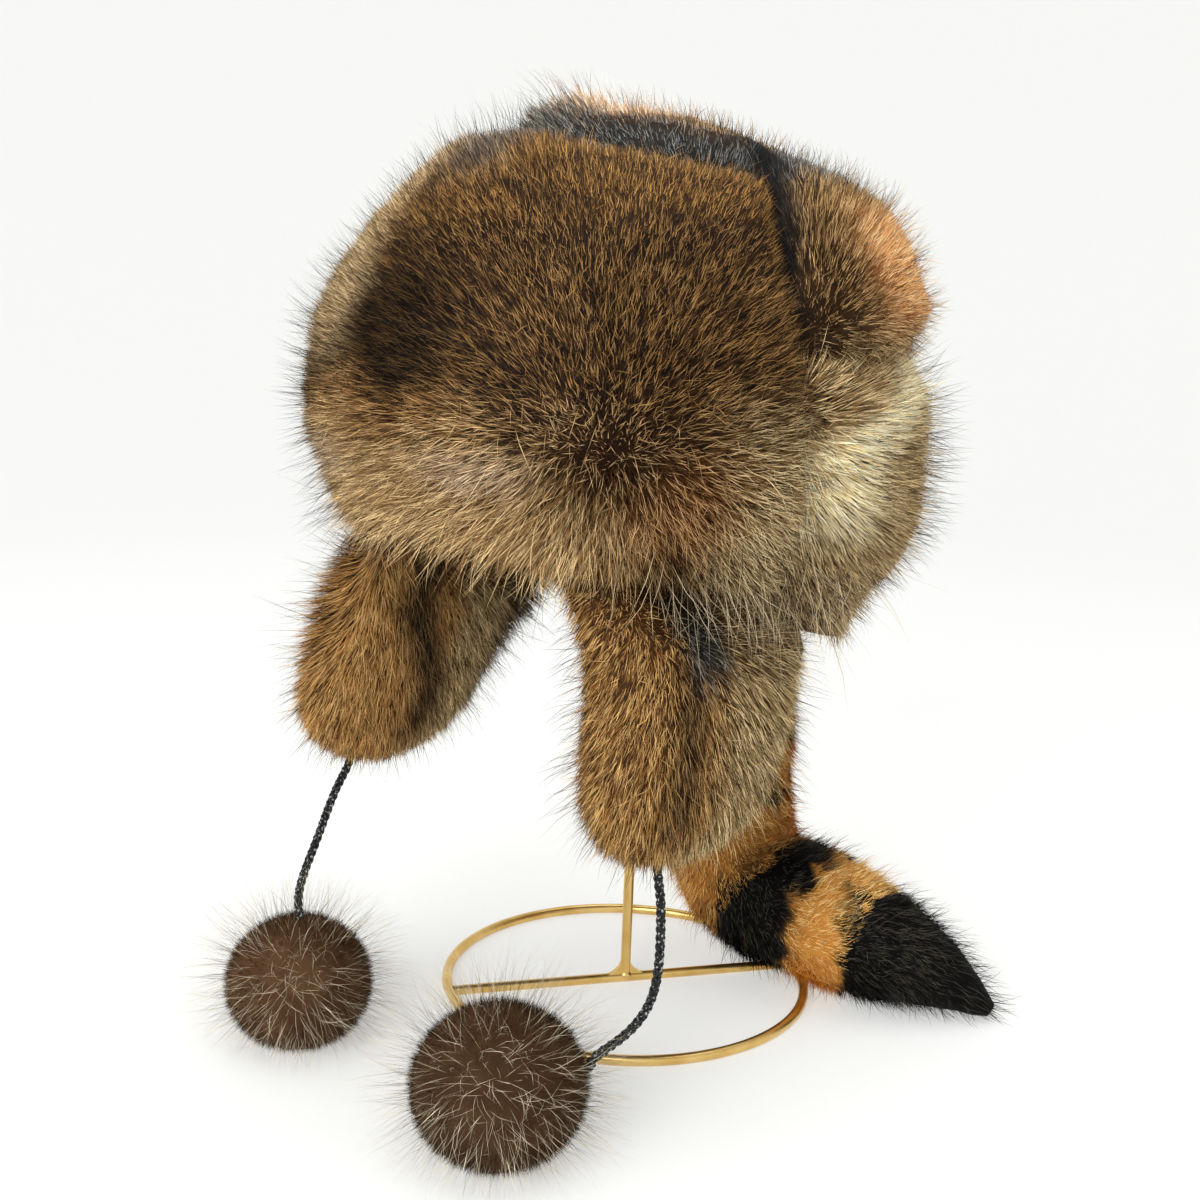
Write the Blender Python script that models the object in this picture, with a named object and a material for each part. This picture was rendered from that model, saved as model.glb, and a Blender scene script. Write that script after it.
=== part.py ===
"""Coonskin cap with ear flaps, tail and pompoms, resting on a wire hat stand.

Metres, +Z up. The origin is on the floor at the middle of the stand's ring, the cap's front faces -Y,
and the wearer's left is +X. The fur pieces are modelled to the tips of their locks.
"""
import math
import random

import bmesh
import bpy
from mathutils import Vector

# Clearances between pieces
FUR_GAP = 0.0009            # between the cap wall and the fur on it, with room for both facets
SEAM_GAP = 0.0008           # between two neighbouring fur panels
HEM_GAP = 0.0006            # under the wall's rim, and under what lies on the ring
PLATE_GAP = 0.0009          # between the stand's plate and the crown, with room for the facets

# Wire hat stand
RING_RADIUS = 0.090         # to the middle of the wire
WIRE = 0.005                # thickness of the ring's, the bar's and the post's wire
BAR_TURN = math.radians(59.3)
GUSSET = 0.0075             # leg of each solder web at the post's foot
PLATE_RADIUS = 0.045
PLATE_THICKNESS = 0.002

# Cap wall: pelt and lining as one wall, an oval dome over straight sides
CAP_X = 0.006
CAP_Y = -0.024
EQUATOR_Z = 0.300           # where the dome turns into the straight sides
HEAD_HALF_WIDTH = 0.0825
HEAD_HALF_LENGTH = 0.1025
CROWN_RISE = 0.080          # inside, from the equator to the crown
WALL = 0.003
RIM_Z = 0.235               # height of the rim at the ears
RIM_TILT = 0.036            # how much higher the rim is in front, and lower behind

# Fur panels on the wall
FUR_DEPTH = 0.037           # from the wall to the feet of the locks
LOCK = 0.014                # length of a lock
EDGE_FULLNESS = 0.78        # depth at a panel's edge against its middle
CROWN_FULLNESS = 1.26       # depth on the crown's back against the other panels
HANG = 0.0225               # how far the brim's fur reaches below the rim
CURL_HEIGHT = 0.022         # where the brim's fur starts to curl in, above the rim
WHORL_SPREAD = 0.050        # how far from a whorl the hair lies down flat
MIDDLE_SPREAD = 0.030       # how far from the middle plane both sides' flows are whole
LOW = 0.001                 # up to this height above what a piece lies on there are no locks
HIGH = 0.016                # and from this height they have their full length
CUFF_TOP = 82.0             # the neck cuff's top edge, degrees from the crown
RIM_ANGLE = 130.0           # the polar reading that stands for the rim
FRONT_COLUMNS, BACK_COLUMNS, SKIRT_ROWS = 22, 20, 5
# Rows of the front panel and of the neck cuff, as shares of the way down
FRONT_SHARES = (0.0, 0.1, 0.2, 0.3, 0.4, 0.5, 0.6, 0.7, 0.79, 0.87, 0.94, 1.0)
CUFF_SHARES = (0.0, 0.18, 0.36, 0.54, 0.70, 0.84, 0.93, 1.0)

# Ear flaps
FLAP_LENGTH = 0.124         # from the rim to the flap's lower end
FLAP_HALF_WIDTH = 0.051
FLAP_HALF_THICKNESS = 0.027
FLAP_LOCK = 0.010
FLAP_SPLAY = 0.014          # how far the lower end stands out from the root
FLAP_ROOT_Y = -0.050        # middle of the root, fore and aft
FLAP_SWING = 0.038          # how far the lower end lies before the root

# Tail
TAIL_RADIUS = 0.030
TAIL_LOCK = 0.009
TAIL_REACH = 0.142          # sideways, from the root to the tip
TAIL_DEPTH = 0.030          # how far the lying part's middle lies before or behind TAIL_LIE_Y
TAIL_LIE_Y = 0.070
TAIL_TAB = 0.012            # half width of the pelt tab at the root
WIRE_NEAR = 0.004           # up to this distance from the ring's middle line the tail lies on the wire
WIRE_FAR = 0.020            # and from this distance it lies on the floor again

# Cords and pompoms
CORD = 0.004
POMPOM_LEFT_RADIUS = 0.0335
POMPOM_RIGHT_RADIUS = 0.0305
POMPOM_LEFT_PLACE = (0.0790, -0.1585)
POMPOM_RIGHT_PLACE = (-0.0590, -0.1575)
POMPOM_LOCK = 0.008
POMPOM_SQUASH = 0.92        # height against width of a lying pompom
POMPOM_FLAT = 0.0007        # how much its own weight flattens its underside

FUR_BROWN = (0.155, 0.085, 0.04)
FUR_DARK = (0.05, 0.035, 0.022)
FUR_TAN = (0.33, 0.19, 0.09)
HIDE = (0.10, 0.075, 0.06)
GOLD = (0.72, 0.50, 0.17)
CORD_BLACK = (0.02, 0.02, 0.022)
POMPOM_BROWN = (0.13, 0.085, 0.06)


def clear_scene():
    for thing in list(bpy.data.objects):
        bpy.data.objects.remove(thing, do_unlink=True)


def material(name, colour, roughness, metallic=0.0):
    made = bpy.data.materials.new(name)
    made.use_nodes = True
    shader = made.node_tree.nodes["Principled BSDF"]
    shader.inputs["Base Color"].default_value = (*colour, 1.0)
    shader.inputs["Roughness"].default_value = roughness
    shader.inputs["Metallic"].default_value = metallic
    return made


def add_object(name, bm, finish, smooth=False):
    """Turn a bmesh into the scene's named object, faces out."""
    bmesh.ops.recalc_face_normals(bm, faces=bm.faces)
    mesh = bpy.data.meshes.new(name)
    bm.to_mesh(mesh)
    bm.free()
    mesh.materials.append(finish)
    if smooth:
        mesh.shade_smooth()
        mesh.set_sharp_from_angle(angle=math.radians(40))
    thing = bpy.data.objects.new(name, mesh)
    bpy.context.scene.collection.objects.link(thing)
    return thing


def between(rows, x):
    """The columns of a table at x, on a smooth curve through its rows; the first column is x itself."""
    x = min(max(x, rows[0][0]), rows[-1][0])
    k = max(1, next(i for i, row in enumerate(rows) if x <= row[0]))
    before, after = rows[k - 1], rows[k]
    span = after[0] - before[0]
    t = (x - before[0]) / span
    outer = rows[max(k - 2, 0)], rows[min(k + 1, len(rows) - 1)]
    columns = []
    for c in range(1, len(before)):
        slope_in = (after[c] - outer[0][c]) / (after[0] - outer[0][0]) * span
        slope_out = (outer[1][c] - before[c]) / (outer[1][0] - before[0]) * span
        columns.append((2 * t**3 - 3 * t**2 + 1) * before[c] + (t**3 - 2 * t**2 + t) * slope_in
                       + (3 * t**2 - 2 * t**3) * after[c] + (t**3 - t**2) * slope_out)
    return columns


def ease(x, low, high):
    """0 below low, 1 above high, a smooth step between."""
    t = min(max((x - low) / (high - low), 0.0), 1.0)
    return t * t * (3 - 2 * t)


# The wall's surface. Around: degrees from the front, + to the wearer's left.
# Down: degrees from the crown, 90 at the equator and RIM_ANGLE at the rim.

def rim_z(around):
    return RIM_Z + RIM_TILT * math.cos(math.radians(around))


def wall_point(around, down, grow):
    """A point of the wall's inner surface grown outwards by grow."""
    a = math.radians(around)
    wide, long, rise = HEAD_HALF_WIDTH + grow, HEAD_HALF_LENGTH + grow, CROWN_RISE + grow
    if down <= 90.0:
        d = math.radians(down)
        round_share, z = math.sin(d), EQUATOR_Z + rise * math.cos(d)
    else:
        share = (down - 90.0) / (RIM_ANGLE - 90.0)
        round_share, z = 1.0, EQUATOR_Z - (EQUATOR_Z - rim_z(around)) * share
    return Vector((CAP_X + wide * round_share * math.sin(a), CAP_Y - long * round_share * math.cos(a), z))


def wall_normal(around, down):
    a, d = math.radians(around), math.radians(min(down, 90.0))
    wide, long, rise = HEAD_HALF_WIDTH + WALL, HEAD_HALF_LENGTH + WALL, CROWN_RISE + WALL
    return Vector((math.sin(d) * math.sin(a) / wide, -math.sin(d) * math.cos(a) / long,
                   math.cos(d) / rise)).normalized()


def fur_point(around, down, depth):
    """A point of the fur's outer surface: out along the normal, and curling in under the brim."""
    foot = wall_point(around, down, WALL)
    above = foot.z - rim_z(around)
    curl = 1.0 - ease(above, 0.0, CURL_HEIGHT)
    out = depth * (1.0 - 0.70 * curl)
    return foot + wall_normal(around, down) * out + Vector((0.0, 0.0, -HANG)) * curl ** 1.5


def raise_lock(bm, face, tip):
    """One lock: the face's pyramid with its point at tip."""
    made = bmesh.ops.poke(bm, faces=[face])
    made["verts"][0].co = tip


def combed(around, down, normal, whorl):
    """The way the hair is combed along the skin there, away from the whorl on its side; up to 1 long."""
    side = 1.0 if math.sin(math.radians(around)) >= 0.0 else -1.0
    here = wall_point(around, down, WALL)
    away = here - wall_point(side * whorl[0], whorl[1], WALL)
    away -= normal * away.dot(normal)
    away *= min(away.length / WHORL_SPREAD, 1.0) / max(away.length, 1e-6)
    away.x *= ease(abs(here.x - CAP_X), 0.0, MIDDLE_SPREAD)
    return away


def fur_panel(name, cells, fullness, whorl, finish):
    """A slab of fur over the wall. Each cell lists the (around, down) readings of its corners. The slab
    is thinner at its seams, and each cell stands in a lock that stays on its own side of them."""
    bm = bmesh.new()
    outer, inner, locks = {}, {}, []
    for cell in cells:
        for reading in cell:
            if reading not in outer:
                outer[reading] = bm.verts.new(fur_point(*reading, FUR_DEPTH * fullness(*reading)))
                inner[reading] = bm.verts.new(wall_point(*reading, WALL + FUR_GAP))
        locks.append((cell, bm.faces.new([outer[reading] for reading in cell])))
    edges = [edge for edge in bm.edges if edge.is_boundary]
    for cell in cells:
        bm.faces.new([inner[reading] for reading in reversed(cell)])
    below = {vert: inner[reading] for reading, vert in outer.items()}
    seam = []
    for reading, vert in outer.items():
        if any(edge in edges for edge in vert.link_edges) and reading[1] < RIM_ANGLE:
            vert.co = fur_point(*reading, FUR_DEPTH * EDGE_FULLNESS)
            seam.append(vert.co.copy())
    for edge in edges:
        one, two = edge.verts
        bm.faces.new((one, two, below[two], below[one]))
    rng = random.Random(name)
    for cell, face in locks:
        foot = face.calc_center_median()
        normal = sum((wall_normal(*reading) for reading in cell), Vector()).normalized()
        reading = cell_middle(cell)
        room = min((foot - spot).length for spot in seam)
        size = min(1.0, math.sqrt(face.calc_area()) / LOCK)
        length = LOCK * size * rng.uniform(0.8, 1.05) * (0.5 + 0.5 * min(room / LOCK, 1.0))
        slant = combed(*reading, normal, whorl) * min(0.6 * length, 0.6 * room)
        raise_lock(bm, face, foot + normal * length * 0.85 + slant)
    return add_object(name, bm, finish)


def cell_middle(cell):
    """The reading at a cell's middle, taken on the flat plan of the readings."""
    spots = [flat(*reading) for reading in cell]
    return reading_of(sum(spots, Vector((0.0, 0.0))) / len(spots))


def flat(around, down):
    return Vector((down * math.sin(math.radians(around)), -down * math.cos(math.radians(around))))


def reading_of(spot):
    return math.degrees(math.atan2(spot.x, -spot.y)), spot.length


def grid_cells(rows):
    """The cells between rows of readings."""
    return [(a, b, d, c) for upper, lower in zip(rows, rows[1:])
            for a, b, c, d in zip(upper, upper[1:], lower, lower[1:])]


# The seam between the front panel and the two behind it. Columns: degrees down, degrees around.
SEAM = ((36.0, 99.0), (47.0, 89.0), (58.0, 83.5), (70.0, 82.0), (84.0, 82.0), (130.0, 84.0))
# The front panel's top edge. Columns: degrees around, degrees down.
TOP_EDGE = ((0.0, 25.0), (30.0, 26.0), (60.0, 30.0), (99.0, 36.0))


def seam_around(down):
    return between(SEAM, down)[0]


def seam_clear(down):
    """Half the seam's gap as degrees around, at that height."""
    reach = (HEAD_HALF_LENGTH + HEAD_HALF_WIDTH) / 2 * math.sin(math.radians(min(down, 90.0)))
    return math.degrees(SEAM_GAP / 2 / reach)


EDGE_CLEAR = math.degrees(SEAM_GAP / 2 / (CROWN_RISE + WALL))      # the same for a level edge


def spread(start, end, steps):
    return [start + (end - start) * k / steps for k in range(steps + 1)]


def top_edge(around):
    return between(TOP_EDGE, abs(around))[0]


def front_cells():
    rows = []
    for share in FRONT_SHARES:
        row = []
        for turn in spread(-1.0, 1.0, FRONT_COLUMNS):
            corner = TOP_EDGE[-1][1] + EDGE_CLEAR
            side_down = corner + (RIM_ANGLE - corner) * share
            around = turn * (seam_around(side_down) - seam_clear(side_down))
            top = top_edge(turn * TOP_EDGE[-1][0]) + EDGE_CLEAR
            row.append((around, top + (RIM_ANGLE - top) * share))
        rows.append(row)
    return grid_cells(rows)


def back_rows(downs):
    """Rows behind the two seams, from the left seam round the back to the right one."""
    rows = []
    for down in downs:
        start = seam_around(down) + seam_clear(down)
        rows.append([(around, down) for around in spread(start, 360.0 - start, BACK_COLUMNS)])
    return rows


def cuff_cells():
    top = CUFF_TOP + EDGE_CLEAR
    return grid_cells(back_rows([top + (RIM_ANGLE - top) * share for share in CUFF_SHARES]))


def crown_cells():
    """A round cap over the crown, and behind the seams a skirt that falls to the cuff's top edge."""
    skirt = back_rows(spread(TOP_EDGE[-1][1] - EDGE_CLEAR, CUFF_TOP - EDGE_CLEAR, SKIRT_ROWS))
    start = skirt[0][0][0]
    ahead = [(turn, top_edge(turn) - EDGE_CLEAR) for turn in spread(-start, start, FRONT_COLUMNS)]
    edge = skirt[0] + ahead[1:-1] + skirt[0][:1]
    rings = [[(around, down * share) for around, down in edge] for share in (0.38, 0.70)] + [edge]
    pole = [((0.0, 0.0), two, one) for one, two in zip(rings[0], rings[0][1:])]
    return pole + grid_cells(rings) + grid_cells(skirt)


def crown_fullness(around, down):
    """Fuller on the back of the crown."""
    behind = ease(-math.cos(math.radians(around)), -0.3, 0.4)
    return 1.0 + (CROWN_FULLNESS - 1.0) * behind * ease(down, 30.0, 55.0)


def even(around, down):
    return 1.0


def cap_wall(finish):
    """The hollow dome: two nested surfaces joined at the rim."""
    around_steps, rows = 32, (12, 24, 36, 48, 60, 72, 84, 98, 114, 130)
    bm = bmesh.new()
    sheets = []
    for grow in (WALL, 0.0):
        pole = bm.verts.new(wall_point(0, 0, grow))
        rings = [[bm.verts.new(wall_point(360 * i / around_steps, down, grow)) for i in range(around_steps)]
                 for down in rows]
        for i in range(around_steps):
            n = (i + 1) % around_steps
            bm.faces.new((pole, rings[0][i], rings[0][n]))
            for upper, lower in zip(rings, rings[1:]):
                bm.faces.new((upper[i], lower[i], lower[n], upper[n]))
        sheets.append(rings[-1])
    for i in range(around_steps):
        n = (i + 1) % around_steps
        bm.faces.new((sheets[0][i], sheets[1][i], sheets[1][n], sheets[0][n]))
    return add_object("cap_wall", bm, finish, smooth=True)


def closed_loft(name, sections, lock_length, lean, support, finish, seed):
    """A closed body through rings of equal counts, every side face standing in a lock.
    lean gives a lock's direction from its normal; support is the height that nothing goes below."""
    bm = bmesh.new()
    rings = [[bm.verts.new(point) for point in section] for section in sections]
    count = len(rings[0])
    bm.faces.new(rings[0])
    bm.faces.new(rings[-1][::-1])
    sides = []
    for k, (upper, lower) in enumerate(zip(rings, rings[1:])):
        for i in range(count):
            n = (i + 1) % count
            sides.append((k, bm.faces.new((upper[i], upper[n], lower[n], lower[i]))))
    bmesh.ops.recalc_face_normals(bm, faces=bm.faces)
    rng = random.Random(seed)
    for k, face in sides:
        centre, normal = face.calc_center_median(), face.normal.copy()
        height = centre.z - support(centre.x, centre.y)
        length = lock_length(k, len(rings) - 1) * rng.uniform(0.8, 1.05) * ease(height, LOW, HIGH)
        raise_lock(bm, face, centre + lean(k, normal) * length)
    return add_object(name, bm, finish)


def rim_x(y):
    """The middle of the wall's thickness at the rim, as a distance from the cap's middle plane."""
    share = (y - CAP_Y) / (HEAD_HALF_LENGTH + WALL / 2)
    return (HEAD_HALF_WIDTH + WALL / 2) * math.sqrt(max(1.0 - share * share, 0.02))


def rim_height_at(y):
    share = min(max((CAP_Y - y) / (HEAD_HALF_LENGTH + WALL / 2), -1.0), 1.0)
    return RIM_Z + RIM_TILT * share


# Ear flap sections from the rim down. Columns: drop as a share of the flap's length, how much it
# still follows the rim's slope, shares of the swing, half width, half thickness and splay, and the
# bend in plan.
FLAP_SECTIONS = (
    (0.000, 1.00, 0.00, 1.12, 0.00, 0.00, 1.00),
    (0.190, 1.00, 0.10, 1.12, 0.05, 0.02, 1.00),
    (0.250, 0.80, 0.16, 1.12, 0.50, 0.22, 0.70),
    (0.340, 0.50, 0.28, 1.08, 0.88, 0.48, 0.40),
    (0.460, 0.20, 0.45, 1.02, 1.00, 0.70, 0.20),
    (0.620, 0.00, 0.66, 0.98, 1.02, 0.88, 0.08),
    (0.770, 0.00, 0.84, 0.90, 0.98, 1.00, 0.00),
    (0.890, 0.00, 0.95, 0.72, 0.80, 1.00, 0.00),
    (0.965, 0.00, 1.00, 0.44, 0.50, 1.00, 0.00),
    (1.000, 0.00, 1.00, 0.10, 0.16, 1.00, 0.00),
)
FLAP_ROOT_HALF = 0.0014     # half thickness of the pelt where it is sewn to the rim


def ear_flap(name, side, finish):
    count = 16
    sections = []
    for drop, slope, swing, width, thickness, splay, bend in FLAP_SECTIONS:
        middle_y = FLAP_ROOT_Y - FLAP_SWING * swing
        half = FLAP_HALF_WIDTH * width
        thick = max(FLAP_HALF_THICKNESS * thickness, FLAP_ROOT_HALF)
        base_x = rim_x(FLAP_ROOT_Y) + (rim_x(middle_y) - rim_x(FLAP_ROOT_Y)) * bend
        level = rim_height_at(FLAP_ROOT_Y) - HEM_GAP - FLAP_LENGTH * drop
        ring = []
        for i in range(count):
            turn = 2 * math.pi * i / count
            along, out = math.cos(turn), math.sin(turn)
            y = middle_y + half * along
            x = base_x + (rim_x(y) - rim_x(middle_y)) * bend + FLAP_SPLAY * splay
            slope_x = (rim_x(y + 0.001) - rim_x(y - 0.001)) / 0.002 * bend
            facing = Vector((1.0, -slope_x, 0.0)).normalized()
            z = level + slope * (rim_height_at(y) - rim_height_at(FLAP_ROOT_Y))
            point = Vector((x, y, z)) + facing * (thick * out)
            ring.append(Vector((CAP_X + side * point.x, point.y, point.z)))
        sections.append(ring)

    def lock_length(k, last):
        if k >= last - 2:
            return FLAP_LOCK * (0.7, 0.2)[k - last + 2]
        return FLAP_LOCK * (0.0, 0.35, 0.8)[min(k, 2)]

    def lean(k, normal):
        return (normal + Vector((0.0, 0.0, -0.7))).normalized()

    return closed_loft(name, sections, lock_length, lean, lambda x, y: 0.0, finish, name)


def resting_height(x, y):
    """What a soft piece lies on: the floor, and the ring's wire where it crosses it."""
    off_wire = abs(math.hypot(x, y) - RING_RADIUS)
    return (WIRE + HEM_GAP) * (1.0 - ease(off_wire, WIRE_NEAR, WIRE_FAR))


# Tail sections from the root. Columns: shares of the reach, of the lying line's depth, of the root's
# height above the lying line, and of the radius.
TAIL_SECTIONS = (
    (0.000, 0.00, 1.000, 0.00),
    (0.000, 0.02, 0.860, 0.10),
    (-0.010, 0.10, 0.770, 0.55),
    (-0.030, 0.25, 0.660, 0.85),
    (-0.060, 0.35, 0.530, 0.96),
    (-0.075, 0.35, 0.400, 1.00),
    (-0.060, 0.25, 0.265, 1.03),
    (-0.010, 0.10, 0.145, 1.05),
    (0.085, -0.04, 0.065, 1.06),
    (0.215, -0.10, 0.020, 1.06),
    (0.350, -0.06, 0.000, 1.04),
    (0.490, 0.06, 0.000, 1.00),
    (0.620, 0.24, 0.000, 0.90),
    (0.740, 0.46, 0.000, 0.72),
    (0.850, 0.70, 0.000, 0.50),
    (0.935, 0.90, 0.000, 0.27),
    (1.000, 1.04, 0.000, 0.08),
)


def tail(finish):
    root = wall_point(180.0, RIM_ANGLE, WALL / 2) - Vector((0.0, 0.0, HEM_GAP))
    count = 10
    middles = []
    for reach, depth, height, radius in TAIL_SECTIONS:
        lie = Vector((root.x + TAIL_REACH * reach, TAIL_LIE_Y + TAIL_DEPTH * depth, 0.0))
        share = min(1.0, height)
        lie.y += (root.y - TAIL_LIE_Y) * ease(share, 0.7, 1.0)
        size = TAIL_RADIUS * radius
        lie.z = resting_height(lie.x, lie.y) + size + TAIL_LOCK * 0.4
        lie.z += (root.z - lie.z) * share
        middles.append((lie, size))
    sections = []
    side = Vector((1.0, 0.0, 0.0))
    for k, (middle, size) in enumerate(middles):
        before, after = middles[max(k - 1, 0)][0], middles[min(k + 1, len(middles) - 1)][0]
        run = (after - before).normalized()
        side = (side - run * side.dot(run)).normalized()
        lift = side.cross(run)
        across, through = max(size, TAIL_TAB * (k < 3)), max(size, FLAP_ROOT_HALF)
        ring = []
        for i in range(count):
            turn = 2 * math.pi * i / count
            point = middle + side * (across * math.cos(turn)) + lift * (through * math.sin(turn))
            point.z = max(point.z, resting_height(point.x, point.y))
            ring.append(point)
        sections.append(ring)

    def lock_length(k, last):
        return 0.0 if k == 0 else TAIL_LOCK * (0.4 if k in (1, last - 1) else 1.0)

    def lean(k, normal):
        before, after = middles[k][0], middles[k + 1][0]
        return (normal + (after - before).normalized() * 0.6).normalized()

    return closed_loft("tail", sections, lock_length, lean, resting_height, finish, "tail")


def pompom(name, place, radius, entry, finish):
    """A ball of locks lying on the floor, bare where its cord goes in."""
    centre = Vector((*place, radius * POMPOM_SQUASH - POMPOM_FLAT))
    bm = bmesh.new()
    bmesh.ops.create_icosphere(bm, subdivisions=3, radius=radius)
    rng = random.Random(name)
    for vert in bm.verts:
        vert.co.z *= POMPOM_SQUASH
        vert.co += centre
        vert.co.z = max(vert.co.z, 0.0)
    for face in list(bm.faces):
        middle = face.calc_center_median()
        length = POMPOM_LOCK * rng.uniform(0.75, 1.05) * ease(middle.z, LOW, HIGH)
        if (middle - Vector(entry)).length < CORD * 2.2:
            length = 0.0
        raise_lock(bm, face, middle + (middle - centre).normalized() * length)
    return add_object(name, bm, finish)


def smooth_route(points, step):
    """Points at equal steps on a smooth curve through the route's own points."""
    rows = [(float(k), *point) for k, point in enumerate(points)]
    fine = [Vector(between(rows, k / 20)) for k in range((len(points) - 1) * 20 + 1)]
    lengths = [0.0]
    for one, two in zip(fine, fine[1:]):
        lengths.append(lengths[-1] + (two - one).length)
    count = max(2, round(lengths[-1] / step))
    route, k = [], 0
    for n in range(count + 1):
        goal = lengths[-1] * n / count
        while k < len(lengths) - 2 and lengths[k + 1] < goal:
            k += 1
        share = (goal - lengths[k]) / (lengths[k + 1] - lengths[k])
        route.append(fine[k].lerp(fine[k + 1], min(share, 1.0)))
    return route


def cord(name, points, finish):
    curve = bpy.data.curves.new(name, "CURVE")
    curve.dimensions = "3D"
    curve.bevel_depth = CORD / 2
    curve.bevel_resolution = 2
    curve.use_fill_caps = True
    spline = curve.splines.new("POLY")
    route = smooth_route(points, CORD * 2)
    spline.points.add(len(route) - 1)
    for point, place in zip(spline.points, route):
        point.co = (*place, 1.0)
    curve.materials.append(finish)
    thing = bpy.data.objects.new(name, curve)
    bpy.context.scene.collection.objects.link(thing)
    return thing


def tube(bm, start, end, thickness, sides=8):
    """A straight wire with one flat side down."""
    axis = end - start
    ring = bmesh.ops.create_cone(bm, cap_ends=True, segments=sides, radius1=thickness / 2,
                                 radius2=thickness / 2, depth=axis.length)
    turn = Vector((0, 0, 1)).rotation_difference(axis)
    bmesh.ops.rotate(bm, verts=ring["verts"], matrix=turn.to_matrix())
    bmesh.ops.translate(bm, verts=ring["verts"], vec=(start + end) / 2)


def hide_tool(thing):
    thing.hide_render = True
    thing.display_type = "WIRE"
    return thing


def union(target, tool):
    joined = target.modifiers.new(tool.name, "BOOLEAN")
    joined.operation = "UNION"
    joined.solver = "EXACT"
    joined.object = tool


def level_wire(bm, start, end, thickness):
    """A wire lying level, an eight sided bar with a flat face down."""
    run = (end - start).normalized()
    side = run.cross(Vector((0, 0, 1)))
    rings = []
    for place in (start, end):
        ring = []
        for k in range(8):
            turn = math.radians(22.5 + 45 * k)
            offset = side * math.cos(turn) + Vector((0, 0, 1)) * math.sin(turn)
            ring.append(bm.verts.new(place + offset * thickness / 2))
        rings.append(ring)
    for k in range(8):
        n = (k + 1) % 8
        bm.faces.new((rings[0][k], rings[0][n], rings[1][n], rings[1][k]))
    bm.faces.new(rings[0])
    bm.faces.new(rings[1][::-1])


def wire_stand(finish):
    """Ring, bar, post, two solder webs and the plate under the crown, soldered into one."""
    wire_z = WIRE / 2 * math.cos(math.radians(22.5))         # the flat underside is on the floor
    bar = Vector((math.cos(BAR_TURN), math.sin(BAR_TURN), 0.0))

    bm = bmesh.new()
    steps = 64
    rings = []
    for i in range(steps):
        turn = 2 * math.pi * i / steps
        out = Vector((math.cos(turn), math.sin(turn), 0.0))
        rings.append([bm.verts.new(out * (RING_RADIUS + WIRE / 2 * math.cos(t))
                                   + Vector((0, 0, wire_z + WIRE / 2 * math.sin(t))))
                      for t in (math.radians(22.5 + 45 * k) for k in range(8))])
    for i in range(steps):
        for k in range(8):
            n, m = (i + 1) % steps, (k + 1) % 8
            bm.faces.new((rings[i][k], rings[n][k], rings[n][m], rings[i][m]))
    stand = add_object("wire_stand", bm, finish, smooth=True)

    bm = bmesh.new()
    centre = Vector((0, 0, wire_z))
    level_wire(bm, centre - bar * RING_RADIUS, centre + bar * RING_RADIUS, WIRE * 0.999)
    union(stand, hide_tool(add_object("stand_bar", bm, finish)))

    ceiling = crown_inside(0.0, 0.0) - PLATE_GAP - PLATE_THICKNESS / 2
    bm = bmesh.new()
    tube(bm, Vector((0, 0, wire_z)), Vector((0, 0, ceiling)), WIRE)
    union(stand, hide_tool(add_object("stand_post", bm, finish)))

    bm = bmesh.new()
    across = Vector((-bar.y, bar.x, 0.0)) * WIRE * 0.3
    top = wire_z + WIRE * 0.3
    foot, head = Vector((0, 0, top)), Vector((0, 0, top + GUSSET + WIRE / 2))
    reach = GUSSET + WIRE / 2
    outline = (foot - bar * reach, foot + bar * reach, head + bar * WIRE * 0.3, head - bar * WIRE * 0.3)
    near = [bm.verts.new(point - across) for point in outline]
    far = [bm.verts.new(point + across) for point in outline]
    bm.faces.new(near)
    bm.faces.new(far[::-1])
    for k in range(4):
        n = (k + 1) % 4
        bm.faces.new((near[k], near[n], far[n], far[k]))
    union(stand, hide_tool(add_object("stand_webs", bm, finish)))

    bm = bmesh.new()
    sides, shares = 20, (0.35, 0.7, 1.0)
    sheets = []
    for drop in (0.0, PLATE_THICKNESS):
        middle = bm.verts.new((0, 0, crown_inside(0, 0) - PLATE_GAP - drop))
        rings = []
        for share in shares:
            rings.append([])
            for i in range(sides):
                x = PLATE_RADIUS * share * math.cos(2 * math.pi * i / sides)
                y = PLATE_RADIUS * share * math.sin(2 * math.pi * i / sides)
                rings[-1].append(bm.verts.new((x, y, crown_inside(x, y) - PLATE_GAP - drop)))
        for i in range(sides):
            n = (i + 1) % sides
            bm.faces.new((middle, rings[0][i], rings[0][n]))
            for small, large in zip(rings, rings[1:]):
                bm.faces.new((small[i], large[i], large[n], small[n]))
        sheets.append(rings[-1])
    for i in range(sides):
        n = (i + 1) % sides
        bm.faces.new((sheets[0][i], sheets[1][i], sheets[1][n], sheets[0][n]))
    union(stand, hide_tool(add_object("stand_plate", bm, finish)))
    return stand


def crown_inside(x, y):
    """Height of the crown's inside over a point of the plan."""
    share = ((x - CAP_X) / HEAD_HALF_WIDTH) ** 2 + ((y - CAP_Y) / HEAD_HALF_LENGTH) ** 2
    return EQUATOR_Z + CROWN_RISE * math.sqrt(max(1.0 - share, 0.0))


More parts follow.
